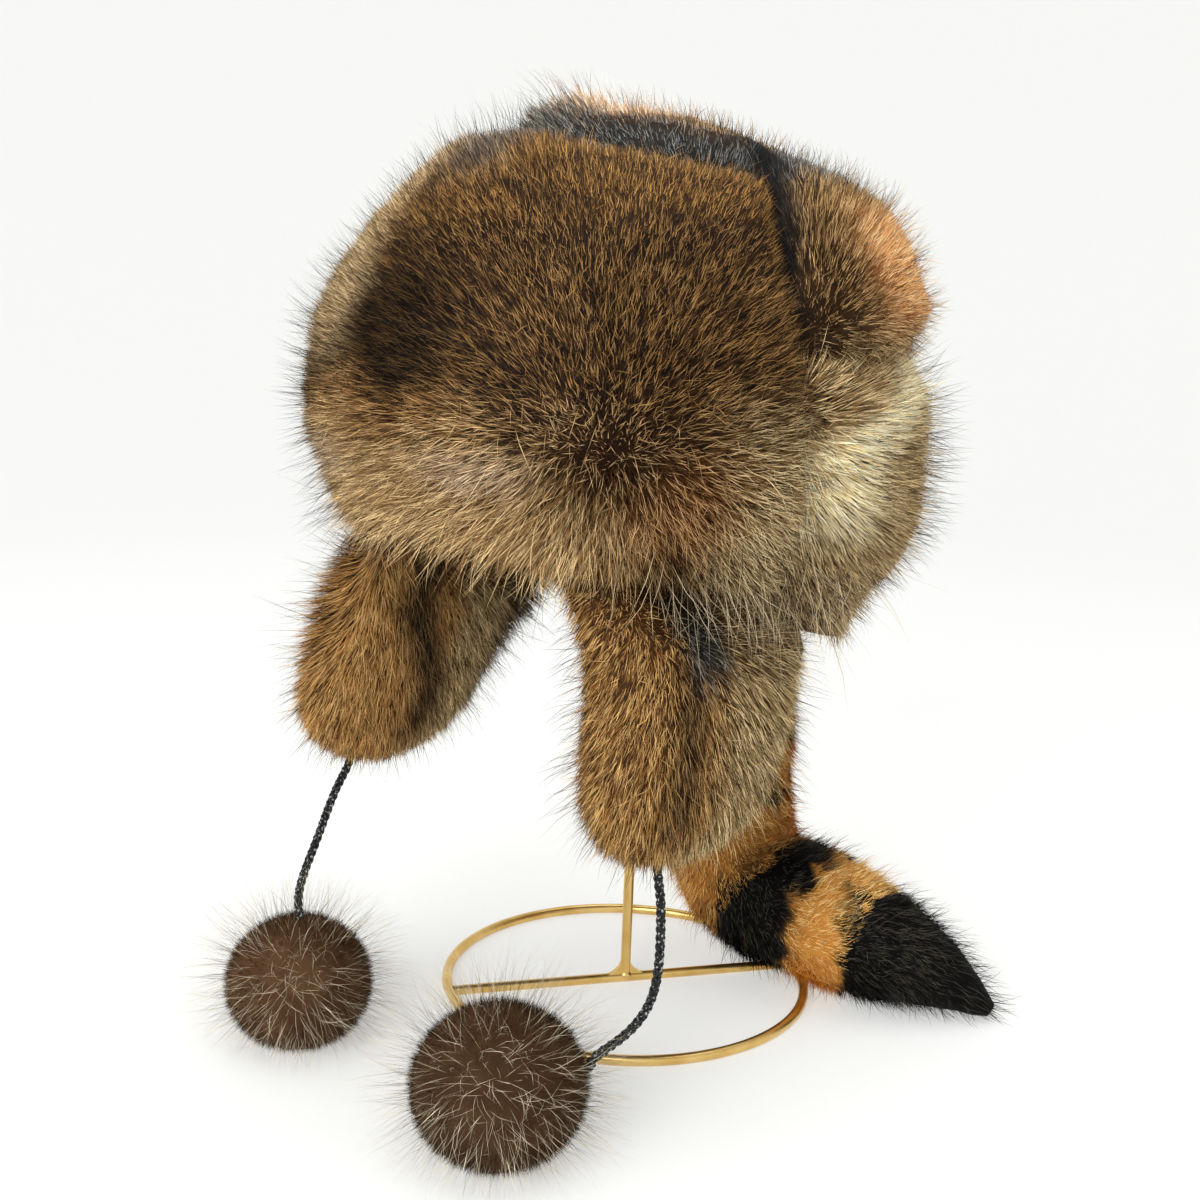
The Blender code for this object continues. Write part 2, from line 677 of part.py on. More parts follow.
# The cords' routes, each from its flap's lower end to its pompom.
CORD_LEFT_ROUTE = (
    (0.1025, -0.0950, 0.1189), (0.1026, -0.0949, 0.1152), (0.1030, -0.0946, 0.1108),
    (0.1035, -0.0941, 0.1058), (0.1041, -0.0936, 0.1005), (0.1044, -0.0934, 0.0954),
    (0.1046, -0.0933, 0.0899), (0.1048, -0.0934, 0.0848), (0.1050, -0.0936, 0.0792),
    (0.1051, -0.0939, 0.0741), (0.1050, -0.0944, 0.0686), (0.1051, -0.0955, 0.0636),
    (0.1051, -0.0975, 0.0585), (0.1048, -0.1003, 0.0538), (0.1041, -0.1037, 0.0499),
    (0.1034, -0.1081, 0.0467), (0.1027, -0.1128, 0.0443), (0.1019, -0.1176, 0.0425),
    (0.1011, -0.1226, 0.0408), (0.1006, -0.1274, 0.0388), (0.1001, -0.1324, 0.0365),
)
CORD_RIGHT_ROUTE = (
    (-0.0890, -0.1060, 0.1206), (-0.0889, -0.1062, 0.1171), (-0.0884, -0.1078, 0.1138),
    (-0.0876, -0.1106, 0.1108), (-0.0865, -0.1138, 0.1078), (-0.0851, -0.1174, 0.1044),
    (-0.0834, -0.1210, 0.1008), (-0.0817, -0.1246, 0.0969), (-0.0799, -0.1282, 0.0928),
    (-0.0782, -0.1317, 0.0887), (-0.0765, -0.1352, 0.0848), (-0.0749, -0.1387, 0.0808),
    (-0.0732, -0.1423, 0.0769), (-0.0714, -0.1459, 0.0727), (-0.0693, -0.1493, 0.0686),
    (-0.0667, -0.1522, 0.0646), (-0.0635, -0.1544, 0.0604), (-0.0599, -0.1561, 0.0565),
)


def build():
    clear_scene()
    brown = material("fur_brown", FUR_BROWN, 0.75)
    dark = material("fur_dark", FUR_DARK, 0.75)
    tan = material("fur_tan", FUR_TAN, 0.75)
    hide = material("hide", HIDE, 0.85)
    gold = material("gold_wire", GOLD, 0.3, 1.0)
    black = material("cord_black", CORD_BLACK, 0.6)
    ball = material("pompom_fur", POMPOM_BROWN, 0.8)

    wire_stand(gold)
    cap_wall(hide)
    fur_panel("front_panel", front_cells(), even, (50.0, 103.0), brown)
    fur_panel("crown_panel", crown_cells(), crown_fullness, (112.0, 62.0), tan)
    fur_panel("neck_cuff", cuff_cells(), even, (95.0, 84.0), brown)
    ear_flap("ear_flap_left", 1, brown)
    ear_flap("ear_flap_right", -1, brown)
    tail(dark)
    cord("cord_left", CORD_LEFT_ROUTE, black)
    cord("cord_right", CORD_RIGHT_ROUTE, black)
    pompom("pompom_left", POMPOM_LEFT_PLACE, POMPOM_LEFT_RADIUS, CORD_LEFT_ROUTE[-1], ball)
    pompom("pompom_right", POMPOM_RIGHT_PLACE, POMPOM_RIGHT_RADIUS, CORD_RIGHT_ROUTE[-1], ball)


build()
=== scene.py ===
"""Coonskin cap on a gilt wire hat stand, dressed for its picture.

Metres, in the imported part's own frame: +Z up, the cap's front faces -Y and the wearer's left is +X.
"""
import math

import bmesh
import bpy
import numpy as np
from mathutils import Matrix, Vector
from mathutils.kdtree import KDTree


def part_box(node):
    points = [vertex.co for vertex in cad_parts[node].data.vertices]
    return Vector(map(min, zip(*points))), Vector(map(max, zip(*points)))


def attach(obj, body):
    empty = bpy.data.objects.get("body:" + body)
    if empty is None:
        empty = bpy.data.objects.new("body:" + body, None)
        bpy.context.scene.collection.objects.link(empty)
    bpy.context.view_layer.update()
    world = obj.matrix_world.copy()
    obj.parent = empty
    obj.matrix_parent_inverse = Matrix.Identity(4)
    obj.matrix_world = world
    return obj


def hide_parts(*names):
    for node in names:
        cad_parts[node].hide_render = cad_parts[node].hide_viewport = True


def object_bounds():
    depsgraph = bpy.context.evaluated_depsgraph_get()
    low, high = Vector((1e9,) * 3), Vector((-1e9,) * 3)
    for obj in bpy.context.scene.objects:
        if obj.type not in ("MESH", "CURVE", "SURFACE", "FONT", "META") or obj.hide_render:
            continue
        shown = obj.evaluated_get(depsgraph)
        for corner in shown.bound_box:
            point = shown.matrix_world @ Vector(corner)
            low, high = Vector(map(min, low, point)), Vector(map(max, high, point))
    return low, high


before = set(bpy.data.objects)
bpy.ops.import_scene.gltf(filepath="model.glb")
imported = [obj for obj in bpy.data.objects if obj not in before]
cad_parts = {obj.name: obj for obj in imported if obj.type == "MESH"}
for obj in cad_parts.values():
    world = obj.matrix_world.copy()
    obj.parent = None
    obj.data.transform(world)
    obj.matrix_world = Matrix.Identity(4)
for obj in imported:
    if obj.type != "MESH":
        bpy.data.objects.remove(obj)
cad_low, cad_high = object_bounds()


# The camera stands before the wearer's left cheek, a little above the brim, with a long lens
# on a square frame that is turned by two degrees.
HEADING, PITCH, ROLL = math.radians(44.0), math.radians(11.57), math.radians(2.01)
DISTANCE = 0.836                # along the line of sight, to the stand's foot
FOOT_RIGHT, FOOT_UP = 0.0127, -0.1909      # where the foot is, from the picture's middle
FOOT_HEIGHT = 0.0023            # the foot is about the middle of the ring's wire
LENS, SENSOR = 49.5, 36.0       # in millimetres


def placed(name, data):
    """A new object in the scene."""
    made = bpy.data.objects.new(name, data)
    bpy.context.scene.collection.objects.link(made)
    return made


level = Vector((math.cos(HEADING), math.sin(HEADING), 0.0))
forward = Vector((-math.sin(HEADING) * math.cos(PITCH), math.cos(HEADING) * math.cos(PITCH),
                  -math.sin(PITCH)))
right = level * math.cos(ROLL) + level.cross(forward) * math.sin(ROLL)
up = right.cross(forward)
camera = placed("camera", bpy.data.cameras.new("camera"))
camera.data.lens, camera.data.sensor_width = LENS, SENSOR
place = Vector((0.0, 0.0, FOOT_HEIGHT)) - forward * DISTANCE - right * FOOT_RIGHT - up * FOOT_UP
camera.matrix_world = Matrix.Translation(place) @ Matrix((right, up, -forward)).transposed().to_4x4()
bpy.context.scene.camera = camera


# The two cords are round braids of eight waxed black yarns with pale flecks, four wound each way
# over and under the others. Each is sewn into the lower end of its ear flap and is tied in its
# pompom's heart.
YARNS = 8
YARN = 0.00072                  # half a yarn's thickness
YARN_ORBIT = 0.00122            # from the cord's middle to a yarn's middle
YARN_WAVE = 0.00024             # how far a yarn dips under and rises over
BRAID_TURN = 0.015              # length of one turn of a yarn
YARN_STEP = 0.0007
FLECK = 0.0012                  # length of a pale fleck
# Route points, from the flap's lower end to the pompom, as the part has them
LEFT_ROUTE = (
    (0.1025, -0.0950, 0.1189), (0.1026, -0.0949, 0.1152), (0.1030, -0.0946, 0.1108),
    (0.1035, -0.0941, 0.1058), (0.1041, -0.0936, 0.1005), (0.1044, -0.0934, 0.0954),
    (0.1046, -0.0933, 0.0899), (0.1048, -0.0934, 0.0848), (0.1050, -0.0936, 0.0792),
    (0.1051, -0.0939, 0.0741), (0.1050, -0.0944, 0.0686), (0.1051, -0.0955, 0.0636),
    (0.1051, -0.0975, 0.0585), (0.1048, -0.1003, 0.0538), (0.1041, -0.1037, 0.0499),
    (0.1034, -0.1081, 0.0467), (0.1027, -0.1128, 0.0443), (0.1019, -0.1176, 0.0425),
    (0.1011, -0.1226, 0.0408), (0.1006, -0.1274, 0.0388), (0.1001, -0.1324, 0.0365),
)
RIGHT_ROUTE = (
    (-0.0890, -0.1060, 0.1206), (-0.0889, -0.1062, 0.1171), (-0.0884, -0.1078, 0.1138),
    (-0.0876, -0.1106, 0.1108), (-0.0865, -0.1138, 0.1078), (-0.0851, -0.1174, 0.1044),
    (-0.0834, -0.1210, 0.1008), (-0.0817, -0.1246, 0.0969), (-0.0799, -0.1282, 0.0928),
    (-0.0782, -0.1317, 0.0887), (-0.0765, -0.1352, 0.0848), (-0.0749, -0.1387, 0.0808),
    (-0.0732, -0.1423, 0.0769), (-0.0714, -0.1459, 0.0727), (-0.0693, -0.1493, 0.0686),
    (-0.0667, -0.1522, 0.0646), (-0.0635, -0.1544, 0.0604), (-0.0599, -0.1561, 0.0565),
)


def tint(red, green, blue):
    """A colour as seen on a screen, from 0 to 255, as linear light."""
    return tuple((part / 255) ** 2.2 for part in (red, green, blue)) + (1.0,)


class Link:
    """A socket of a material. Sums and products with it add Math nodes."""

    def __init__(self, finish, socket):
        self.finish, self.socket = finish, socket

    def __add__(self, other):
        return self.finish.math("ADD", self, other)

    def __radd__(self, other):
        return self.finish.math("ADD", other, self)

    def __sub__(self, other):
        return self.finish.math("SUBTRACT", self, other)

    def __rsub__(self, other):
        return self.finish.math("SUBTRACT", other, self)

    def __mul__(self, other):
        return self.finish.math("MULTIPLY", self, other)

    def __rmul__(self, other):
        return self.finish.math("MULTIPLY", other, self)

    def __mod__(self, other):
        return self.finish.math("FLOORED_MODULO", self, other)

    def __abs__(self):
        return self.finish.math("ABSOLUTE", self)

    def above(self, low, high):
        """0 below low and 1 above high, with a soft step between."""
        return self.finish.node("ShaderNodeMapRange", {"interpolation_type": "SMOOTHSTEP"},
                                {"Value": self, "From Min": low, "From Max": high})

    def near(self, middle, reach, flat=0.0):
        """1 at the middle and as far as flat beside it, and 0 at its reach to either side."""
        return 1 - abs(self - middle).above(flat, reach)

    def at_least(self, low):
        return self.finish.math("MAXIMUM", self, low)


class Finish:
    """A material on the Principled shader, whose even values are set on its own sockets."""

    def __init__(self, name, **even):
        self.material = bpy.data.materials.new(name)
        self.material.use_nodes = True
        self.tree = self.material.node_tree
        self.shader = self.tree.nodes["Principled BSDF"]
        self.surface(**even)

    def node(self, kind, settings, values, output=0):
        made = self.tree.nodes.new(kind)
        for name, value in settings.items():
            setattr(made, name, value)
        for socket, value in values.items():
            self.plug(made.inputs[socket], value)
        return Link(self, made.outputs[output])

    def plug(self, socket, value):
        if isinstance(value, Link):
            self.tree.links.new(value.socket, socket)
        else:
            socket.default_value = value

    def math(self, operation, *terms):
        return self.node("ShaderNodeMath", {"operation": operation}, dict(enumerate(terms)))

    def readings(self, *names):
        """Numbers that the mesh carries under those names."""
        return [self.node("ShaderNodeAttribute", {"attribute_name": name}, {}, "Fac") for name in names]

    def place(self):
        return self.node("ShaderNodeTexCoord", {}, {}, "Object")

    def split(self, where):
        """The X, Y and Z of a place."""
        parts = self.node("ShaderNodeSeparateXYZ", {}, {0: where}).socket.node
        return [Link(self, socket) for socket in parts.outputs]

    def noise(self, where, scale, detail=3.0):
        values = {"Vector": where, "Scale": scale, "Detail": detail}
        return self.node("ShaderNodeTexNoise", {}, values, "Fac")

    def mix(self, share, one, two):
        """Colour one where share is 0, and two where it is 1."""
        return self.node("ShaderNodeMix", {"data_type": "RGBA"}, {0: share, 6: one, 7: two}, 2)

    def bump(self, height, depth):
        return self.node("ShaderNodeBump", {}, {"Height": height, "Distance": depth})

    def surface(self, **values):
        for name, value in values.items():
            self.plug(self.shader.inputs[name.replace("_", " ")], value)
        return self.material


def smooth_line(points, step):
    """Points at equal steps on a smooth curve through the given ones."""
    points = np.array(points)
    ahead, behind = np.roll(points, -1, 0), np.roll(points, 1, 0)
    ahead[-1], behind[0] = points[-1], points[0]
    slopes = (ahead - behind) / 2
    slopes[0], slopes[-1] = slopes[0] * 2, slopes[-1] * 2
    t = np.linspace(0, 1, 20, endpoint=False)[:, None]
    runs = [(2 * t**3 - 3 * t**2 + 1) * a + (t**3 - 2 * t**2 + t) * sa
            + (3 * t**2 - 2 * t**3) * b + (t**3 - t**2) * sb
            for a, b, sa, sb in zip(points, points[1:], slopes, slopes[1:])]
    fine = np.concatenate([*runs, points[-1:]])
    lengths = np.concatenate([[0], np.cumsum(np.linalg.norm(np.diff(fine, axis=0), axis=1))])
    even = np.linspace(0, lengths[-1], round(lengths[-1] / step) + 1)
    return np.stack([np.interp(even, lengths, fine[:, k]) for k in range(3)], axis=1)


def frames_along(line, closed=False):
    """Two unit vectors across a line at each of its points, turning as little as they can."""
    runs = np.roll(line, -1, 0) - np.roll(line, 1, 0)
    if not closed:
        runs[0], runs[-1] = line[1] - line[0], line[-1] - line[-2]
    runs /= np.linalg.norm(runs, axis=1)[:, None]
    side = np.cross(runs[0], (0.0, 0.0, 1.0) if abs(runs[0][2]) < 0.9 else (0.0, 1.0, 0.0))
    sides = []
    for run in runs:
        side = side - run * (side @ run)
        side = side / np.linalg.norm(side)
        sides.append(side)
    sides = np.array(sides)
    return sides, np.cross(runs, sides)


def tube(line, radius, sides, closed=False):
    """Corners and faces of a round wire along a line, its ends closed."""
    one, two = frames_along(line, closed)
    turns = np.arange(sides) * 2 * math.pi / sides
    ring = np.cos(turns)[None, :, None] * one[:, None] + np.sin(turns)[None, :, None] * two[:, None]
    corners = (line[:, None] + ring * radius).reshape(-1, 3)
    count = len(line)
    faces = []
    for i in range(count if closed else count - 1):
        j = (i + 1) % count
        for k in range(sides):
            m = (k + 1) % sides
            faces.append((i * sides + k, i * sides + m, j * sides + m, j * sides + k))
    if not closed:
        faces.append(tuple(range(sides - 1, -1, -1)))
        faces.append(tuple((count - 1) * sides + k for k in range(sides)))
    return corners, faces


def joined(name, parts, finishes, smooth=40):
    """One object from several (corners, faces, finish index) shells."""
    corners, faces, choice = [], [], []
    for shell, rings, finish in parts:
        start = sum(len(c) for c in corners)
        corners.append(shell)
        faces += [tuple(start + k for k in ring) for ring in rings]
        choice += [finish] * len(rings)
    mesh = bpy.data.meshes.new(name)
    mesh.from_pydata(np.concatenate(corners).tolist(), [], faces)
    for finish in finishes:
        mesh.materials.append(finish)
    mesh.polygons.foreach_set("material_index", choice)
    mesh.shade_smooth()
    mesh.set_sharp_from_angle(angle=math.radians(smooth))
    return placed(name, mesh)


def yarn_finish(name, ground, flecked):
    finish = Finish(name, Roughness=0.5, Specular_IOR_Level=0.3)
    where = finish.place()
    fibre = finish.noise(where, 2600.0, 2.0)
    patch = finish.noise(where, 1 / FLECK, 1.0)
    pale = patch.above(0.56, 0.62) if flecked else patch.above(0.70, 0.76)
    colour = finish.mix(fibre, tint(*ground), tint(30, 31, 33))
    colour = finish.mix(pale * 0.7, colour, tint(180, 180, 174))
    return finish.surface(Base_Color=colour, Roughness=0.32 + 0.3 * fibre,
                          Normal=finish.bump(fibre, 0.00012))


def braid(name, node, route, pompom):
    low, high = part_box(pompom)
    line = smooth_line([*route, tuple((low + high) / 2)], YARN_STEP)
    one, two = frames_along(line)
    reach = np.arange(len(line)) * YARN_STEP
    parts = []
    for k in range(YARNS):
        way = 1 if k % 2 else -1
        turn = way * 2 * math.pi * reach / BRAID_TURN + 2 * math.pi / YARNS * (k - k % 2)
        orbit = YARN_ORBIT + way * YARN_WAVE * np.cos(YARNS * math.pi * reach / BRAID_TURN)
        yarn = line + (one * np.cos(turn)[:, None] + two * np.sin(turn)[:, None]) * orbit[:, None]
        parts.append((*tube(yarn, YARN, 6), k % 2))
    core = (*tube(line, YARN_ORBIT - YARN * 0.4, 8), 0)
    piece = joined(name, [core, *parts], yarn_finishes)
    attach(piece, "root")
    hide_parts(node)
    length = float(np.linalg.norm(np.diff(line, axis=0), axis=1).sum())
    return piece, line, length


yarn_finishes = [yarn_finish("waxed_black_yarn", (10, 10, 12), False),
                 yarn_finish("flecked_yarn", (16, 17, 18), True)]
left_cord = braid("left_cord", "cord_left", LEFT_ROUTE, "pompom_left")
right_cord = braid("right_cord", "cord_right", RIGHT_ROUTE, "pompom_right")


# The stand is gilt steel wire: a ring with a straight bar across it, a post soldered to the bar
# with a small web on each side, and a thin domed plate on the post that carries the crown.
WIRE = 0.005
BAR_TURN = math.radians(59.3)
WEB = 0.0085                    # leg of a web
WEB_HALF = 0.0014               # half a web's thickness
WEB_CURVE = 1.6                 # how hollow its edge is, where 1 would be straight
BAR_RADIUS = 0.0024             # a little less than the ring's, so that their skins don't coincide
SOLDER = 0.0033                 # radius of the solder at a joint
PLATE = 0.045                   # radius of the plate
PLATE_THICKNESS = 0.002
EQUATOR_Z = 0.300               # where the cap's dome meets its straight sides
WALL = 0.003                    # the cap's pelt and lining
CROWN_GAP = 0.0009              # between the plate and the crown

wall_low, wall_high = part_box("cap_wall")
ring_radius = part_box("wire_stand")[1].x - WIRE / 2
wire_z = WIRE / 2
hollow_middle = Vector(((wall_low.x + wall_high.x) / 2, (wall_low.y + wall_high.y) / 2, EQUATOR_Z))
hollow_half = Vector(((wall_high.x - wall_low.x) / 2 - WALL, (wall_high.y - wall_low.y) / 2 - WALL,
                      wall_high.z - EQUATOR_Z - WALL))


def crown_inside(x, y):
    """Height of the crown's inside over a point of the plan."""
    share = ((x - hollow_middle.x) / hollow_half.x) ** 2 + ((y - hollow_middle.y) / hollow_half.y) ** 2
    return EQUATOR_Z + hollow_half.z * math.sqrt(1.0 - share)


def straight(start, end):
    return np.linspace(start, end, 24)


def ball(middle, radius):
    bm = bmesh.new()
    bmesh.ops.create_icosphere(bm, subdivisions=3, radius=radius)
    corners = np.array([vert.co + Vector(middle) for vert in bm.verts])
    faces = [tuple(vert.index for vert in face.verts) for face in bm.faces]
    bm.free()
    return corners, faces


def web(bar, side):
    """A small filled corner between the bar and the post, hollowed to a curve."""
    across = np.array((-bar[1], bar[0], 0.0)) * WEB_HALF
    edge = [np.array((0.0, 0.0, wire_z)) + bar * side * WIRE * 0.2]
    for share in np.linspace(0, 1, 7):
        out, rise = WEB * (1 - share) ** WEB_CURVE, WEB * share ** WEB_CURVE
        edge.append(bar * side * (WIRE * 0.35 + out) + np.array((0.0, 0.0, wire_z + WIRE * 0.35 + rise)))
    edge = np.array(edge)
    count = len(edge)
    faces = [tuple(range(count)), tuple(range(2 * count - 1, count - 1, -1))]
    faces += [(k, count + k, count + (k + 1) % count, (k + 1) % count) for k in range(count)]
    return np.concatenate([edge - across, edge + across]), faces


def domed_plate():
    """A disc that follows the crown's inside, its underside as far below as it is thick."""
    sides, plan = 48, [(0.0, 0.0)]
    for share in np.linspace(0.1, 1.0, 8):
        plan += [(PLATE * share * math.cos(turn), PLATE * share * math.sin(turn))
                 for turn in np.arange(sides) * 2 * math.pi / sides]
    corners = [(x, y, crown_inside(x, y) - CROWN_GAP - drop)
               for drop in (0.0, PLATE_THICKNESS) for x, y in plan]
    count, faces = len(plan), []
    for i in range(sides):
        n = (i + 1) % sides
        fan = [(0, 1 + i, 1 + n)]
        fan += [(a + i, a + sides + i, a + sides + n, a + n) for a in range(1, count - sides, sides)]
        faces += fan + [tuple(count + k for k in face[::-1]) for face in fan]
        faces.append((count - sides + i, 2 * count - sides + i, 2 * count - sides + n, count - sides + n))
    return np.array(corners), faces


gilt = Finish("gilt_wire", Metallic=1.0, Roughness=0.26)
where = gilt.place()
cloud = gilt.noise(where, 60.0)
drawn = gilt.noise(where, 1400.0, 2.0)
gold = gilt.mix(cloud.above(0.3, 0.7), tint(220, 180, 104), tint(240, 206, 134))
gilt.surface(Base_Color=gilt.mix(0.16 * drawn, gold, tint(120, 84, 34)),
             Roughness=0.18 + 0.22 * drawn + 0.06 * cloud,
             Normal=gilt.bump(drawn + 2.0 * cloud, 0.00006))

turns = np.linspace(0, 2 * math.pi, 192, endpoint=False)
circle = np.stack([np.cos(turns), np.sin(turns), 0 * turns], 1) * ring_radius + (0.0, 0.0, wire_z)
bar = np.array((math.cos(BAR_TURN), math.sin(BAR_TURN), 0.0))
foot = np.array((0.0, 0.0, wire_z))
bar_end = bar * ring_radius
post_top = np.array((0.0, 0.0, crown_inside(0, 0) - CROWN_GAP - PLATE_THICKNESS / 2))
stand_parts = [tube(circle, WIRE / 2, 16, True),
               tube(straight(foot - bar_end, foot + bar_end), BAR_RADIUS, 16),
               tube(straight(foot, post_top), WIRE / 2, 16), web(bar, 1), web(bar, -1), domed_plate(),
               ball(foot + (0.0, 0.0, SOLDER - wire_z), SOLDER),
               ball(post_top - (0.0, 0.0, PLATE_THICKNESS), SOLDER)]
stand_parts += [ball(foot + bar * side * (ring_radius - WIRE * 0.35), WIRE / 2) for side in (-1, 1)]
stand = joined("hat_stand", [(*part, 0) for part in stand_parts], [gilt.material])
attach(stand, "root")
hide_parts("wire_stand")


# The wall is the pelt itself with a dark twill lining glued inside, sewn from gores that meet at
# the crown. It is the part's own wall, welded and smoothed.
GORES = 6
STITCHED = 0.012                # half a seam's share of a turn between two of them
TWILL = 5200.0                  # the twill's ribs a metre, times two pi
WELD = 0.00002                  # corners nearer to each other than this are one

twill = Finish("dark_twill", Roughness=0.85, Sheen_Weight=0.25)
where = twill.place()
flank, fore, height = twill.split(where)
weave = twill.math("SINE", (flank + fore + height) * TWILL)
turn = twill.math("ARCTAN2", flank - hollow_middle.x, fore - hollow_middle.y)
gore = twill.math("PINGPONG", turn * (GORES / (2 * math.pi)), 0.5)
seam = 1 - gore.above(0.0, STITCHED)
stain = twill.noise(where, 35.0)
cloth = twill.mix(0.5 + 0.5 * weave, tint(44, 36, 30), tint(62, 52, 44))
cloth = twill.mix(stain * 0.5, cloth, tint(34, 28, 24))
twill.surface(Base_Color=twill.mix(seam * 0.7, cloth, tint(20, 16, 14)), Roughness=0.75 + 0.2 * stain,
              Normal=twill.bump(weave * 0.3 - seam * 2.0 + stain, 0.0004))


def welded(node):
    bm = bmesh.new()
    bm.from_mesh(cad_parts[node].data)
    bmesh.ops.remove_doubles(bm, verts=bm.verts, dist=WELD)
    return bm


def one_skin(name, bm, finish):
    """A smooth new object from a bmesh's faces."""
    bmesh.ops.recalc_face_normals(bm, faces=bm.faces)
    mesh = bpy.data.meshes.new(name)
    bm.to_mesh(mesh)
    bm.free()
    mesh.materials.append(finish.material)
    mesh.shade_smooth()
    return placed(name, mesh)


lined_wall = one_skin("lined_wall", welded("cap_wall"), twill)
rounding = lined_wall.modifiers.new("rounding", "SUBSURF")
rounding.levels = rounding.render_levels = 1
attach(lined_wall, "root")
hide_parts("cap_wall")


# The front panel is the cap's brim and brow in one, long raccoon fur combed away from a whorl
# over each ear: short and dense above, long and pale below, and black along its sewn edges.
WHORL = Vector((0.100, -0.123, 0.273))     # the left whorl, on the fur
DOME = Vector((0.002, -0.028, 0.300))      # middle of the oval that the fur's outside follows
DOME_HALF = Vector((0.133, 0.156, 0.124))
PARTING = -0.055                # beyond this the hair follows the twin whorl on the right
PARTING_FADE = 0.045
SPREAD = 0.050                  # how far from a whorl the hair lies down flat
LOCK = 0.001                    # a corner that stands out of the skin by more is the tip of a lock
RIM_DOWN, RIM_OUT = 0.5, 0.25   # how far down and outwards a hairy face of the rim looks, at least
BURIED = 0.005                  # a hair's root below the feet of the part's locks
UNDERCOAT_RISE = 0.002          # the undercoat over those feet
LEAF_ROLL = 0.8                 # a hair's leaf is turned up to this far about its run, in radians
LEAF_BULGE = 0.45               # how far its shading leans to either side, as if it were round
LEAF_TAPER = 0.3                # how much narrower it is at each further cross line
UPRIGHT = 0.78                  # length of a hair that stands straight up, beside one that lies down
OWN_LENGTH, OWN_WIDTH, OWN_PULL = (0.75, 1.15), (0.7, 1.25), (0.4, 1.2)     # shares, from hair to hair
SHOWN = 0.65                    # how far along a hair the place lies whose readings it takes
# Where along a hair the middle's colour, the tip's, the ink and the cream come in
MIDDLE_FROM, TIP_FROM, INK_FROM, CREAM_FROM = (0.16, 0.50), (0.36, 0.70), (0.36, 0.62), (0.35, 0.70)
INK, CREAM = (26, 24, 24), (230, 211, 176)
COAT_ALONG, COAT_CHANCE = 0.35, 0.5     # the undercoat is coloured as such a hair is there
HAIRS_A_CELL = 3                # neighbouring hairs that share a square of the baked picture
COAT_STRIP = 0.10               # the undercoat's share of that picture
PROUD = 0.014                   # how far hair may stand out of the part's box
TABLE_GAP = 0.0006              # between the table and the hair that lies on it
WISP = 2.0                      # a hair with this chance number or more belongs to a cream wisp


def pressed(node, whole):
    """A fur solid with its locks pressed flat, and the faces of its hairy side: all of them,
    or those that carry locks or look down from the rim."""
    bm = welded(node)
    hairy = set(bm.faces) if whole else set()
    flat = {}
    for vert in bm.verts:
        ends = [edge.other_vert(vert).co for edge in vert.link_edges]
        middle = sum(ends, Vector()) / len(ends)
        if len(ends) <= 4 and (vert.co - middle).length > LOCK:
            flat[vert] = middle
            hairy.update(vert.link_faces)
    for vert, middle in flat.items():
        vert.co = middle
    bm.normal_update()
    if not whole:
        for face in bm.faces:
            outward = (face.calc_center_median() - DOME).normalized()
            if -face.normal.z > RIM_DOWN and face.normal.dot(outward) > RIM_OUT:
                hairy.add(face)
    bmesh.ops.triangulate(bm, faces=[face for face in bm.faces if len(face.verts) > 3])
    bm.verts.index_update()
    points = np.array([vert.co for vert in bm.verts])
    normals = np.array([vert.normal for vert in bm.verts])
    triangles = np.array([[vert.index for vert in face.verts] for face in bm.faces])
    skin = np.array([[vert.index for vert in face.verts] for face in bm.faces if face in hairy])
    bm.free()
    return points, normals, triangles, skin


def unit(vectors):
    return vectors / np.maximum(np.linalg.norm(vectors, axis=1), 1e-9)[:, None]


def soft(x, low, high):
    t = np.clip((x - low) / (high - low), 0, 1)
    return t * t * (3 - 2 * t)


def scatter(points, normals, triangles, count, rng):
    """Evenly shared random places on a surface, and its smooth normals there."""
    corners = points[triangles]
    areas = np.linalg.norm(np.cross(corners[:, 1] - corners[:, 0], corners[:, 2] - corners[:, 0]), axis=1)
    ladder = np.cumsum(areas) / areas.sum()
    picked = np.searchsorted(ladder, (np.arange(count) + rng.random(count)) / count).clip(0, len(areas) - 1)
    a, b = rng.random((2, count))
    fold = a + b > 1
    a[fold], b[fold] = 1 - a[fold], 1 - b[fold]
    weights = np.stack([1 - a - b, a, b], 1)[:, :, None]
    return (corners[picked] * weights).sum(1), unit((normals[triangles[picked]] * weights).sum(1))


def nearest(points, spots):
    """For each spot, which of the points is nearest to it."""
    tree = KDTree(len(points))
    for k, point in enumerate(points):
        tree.insert(point, k)
    tree.balance()
    return np.array([tree.find(shadow_spot)[1] for shadow_spot in spots])


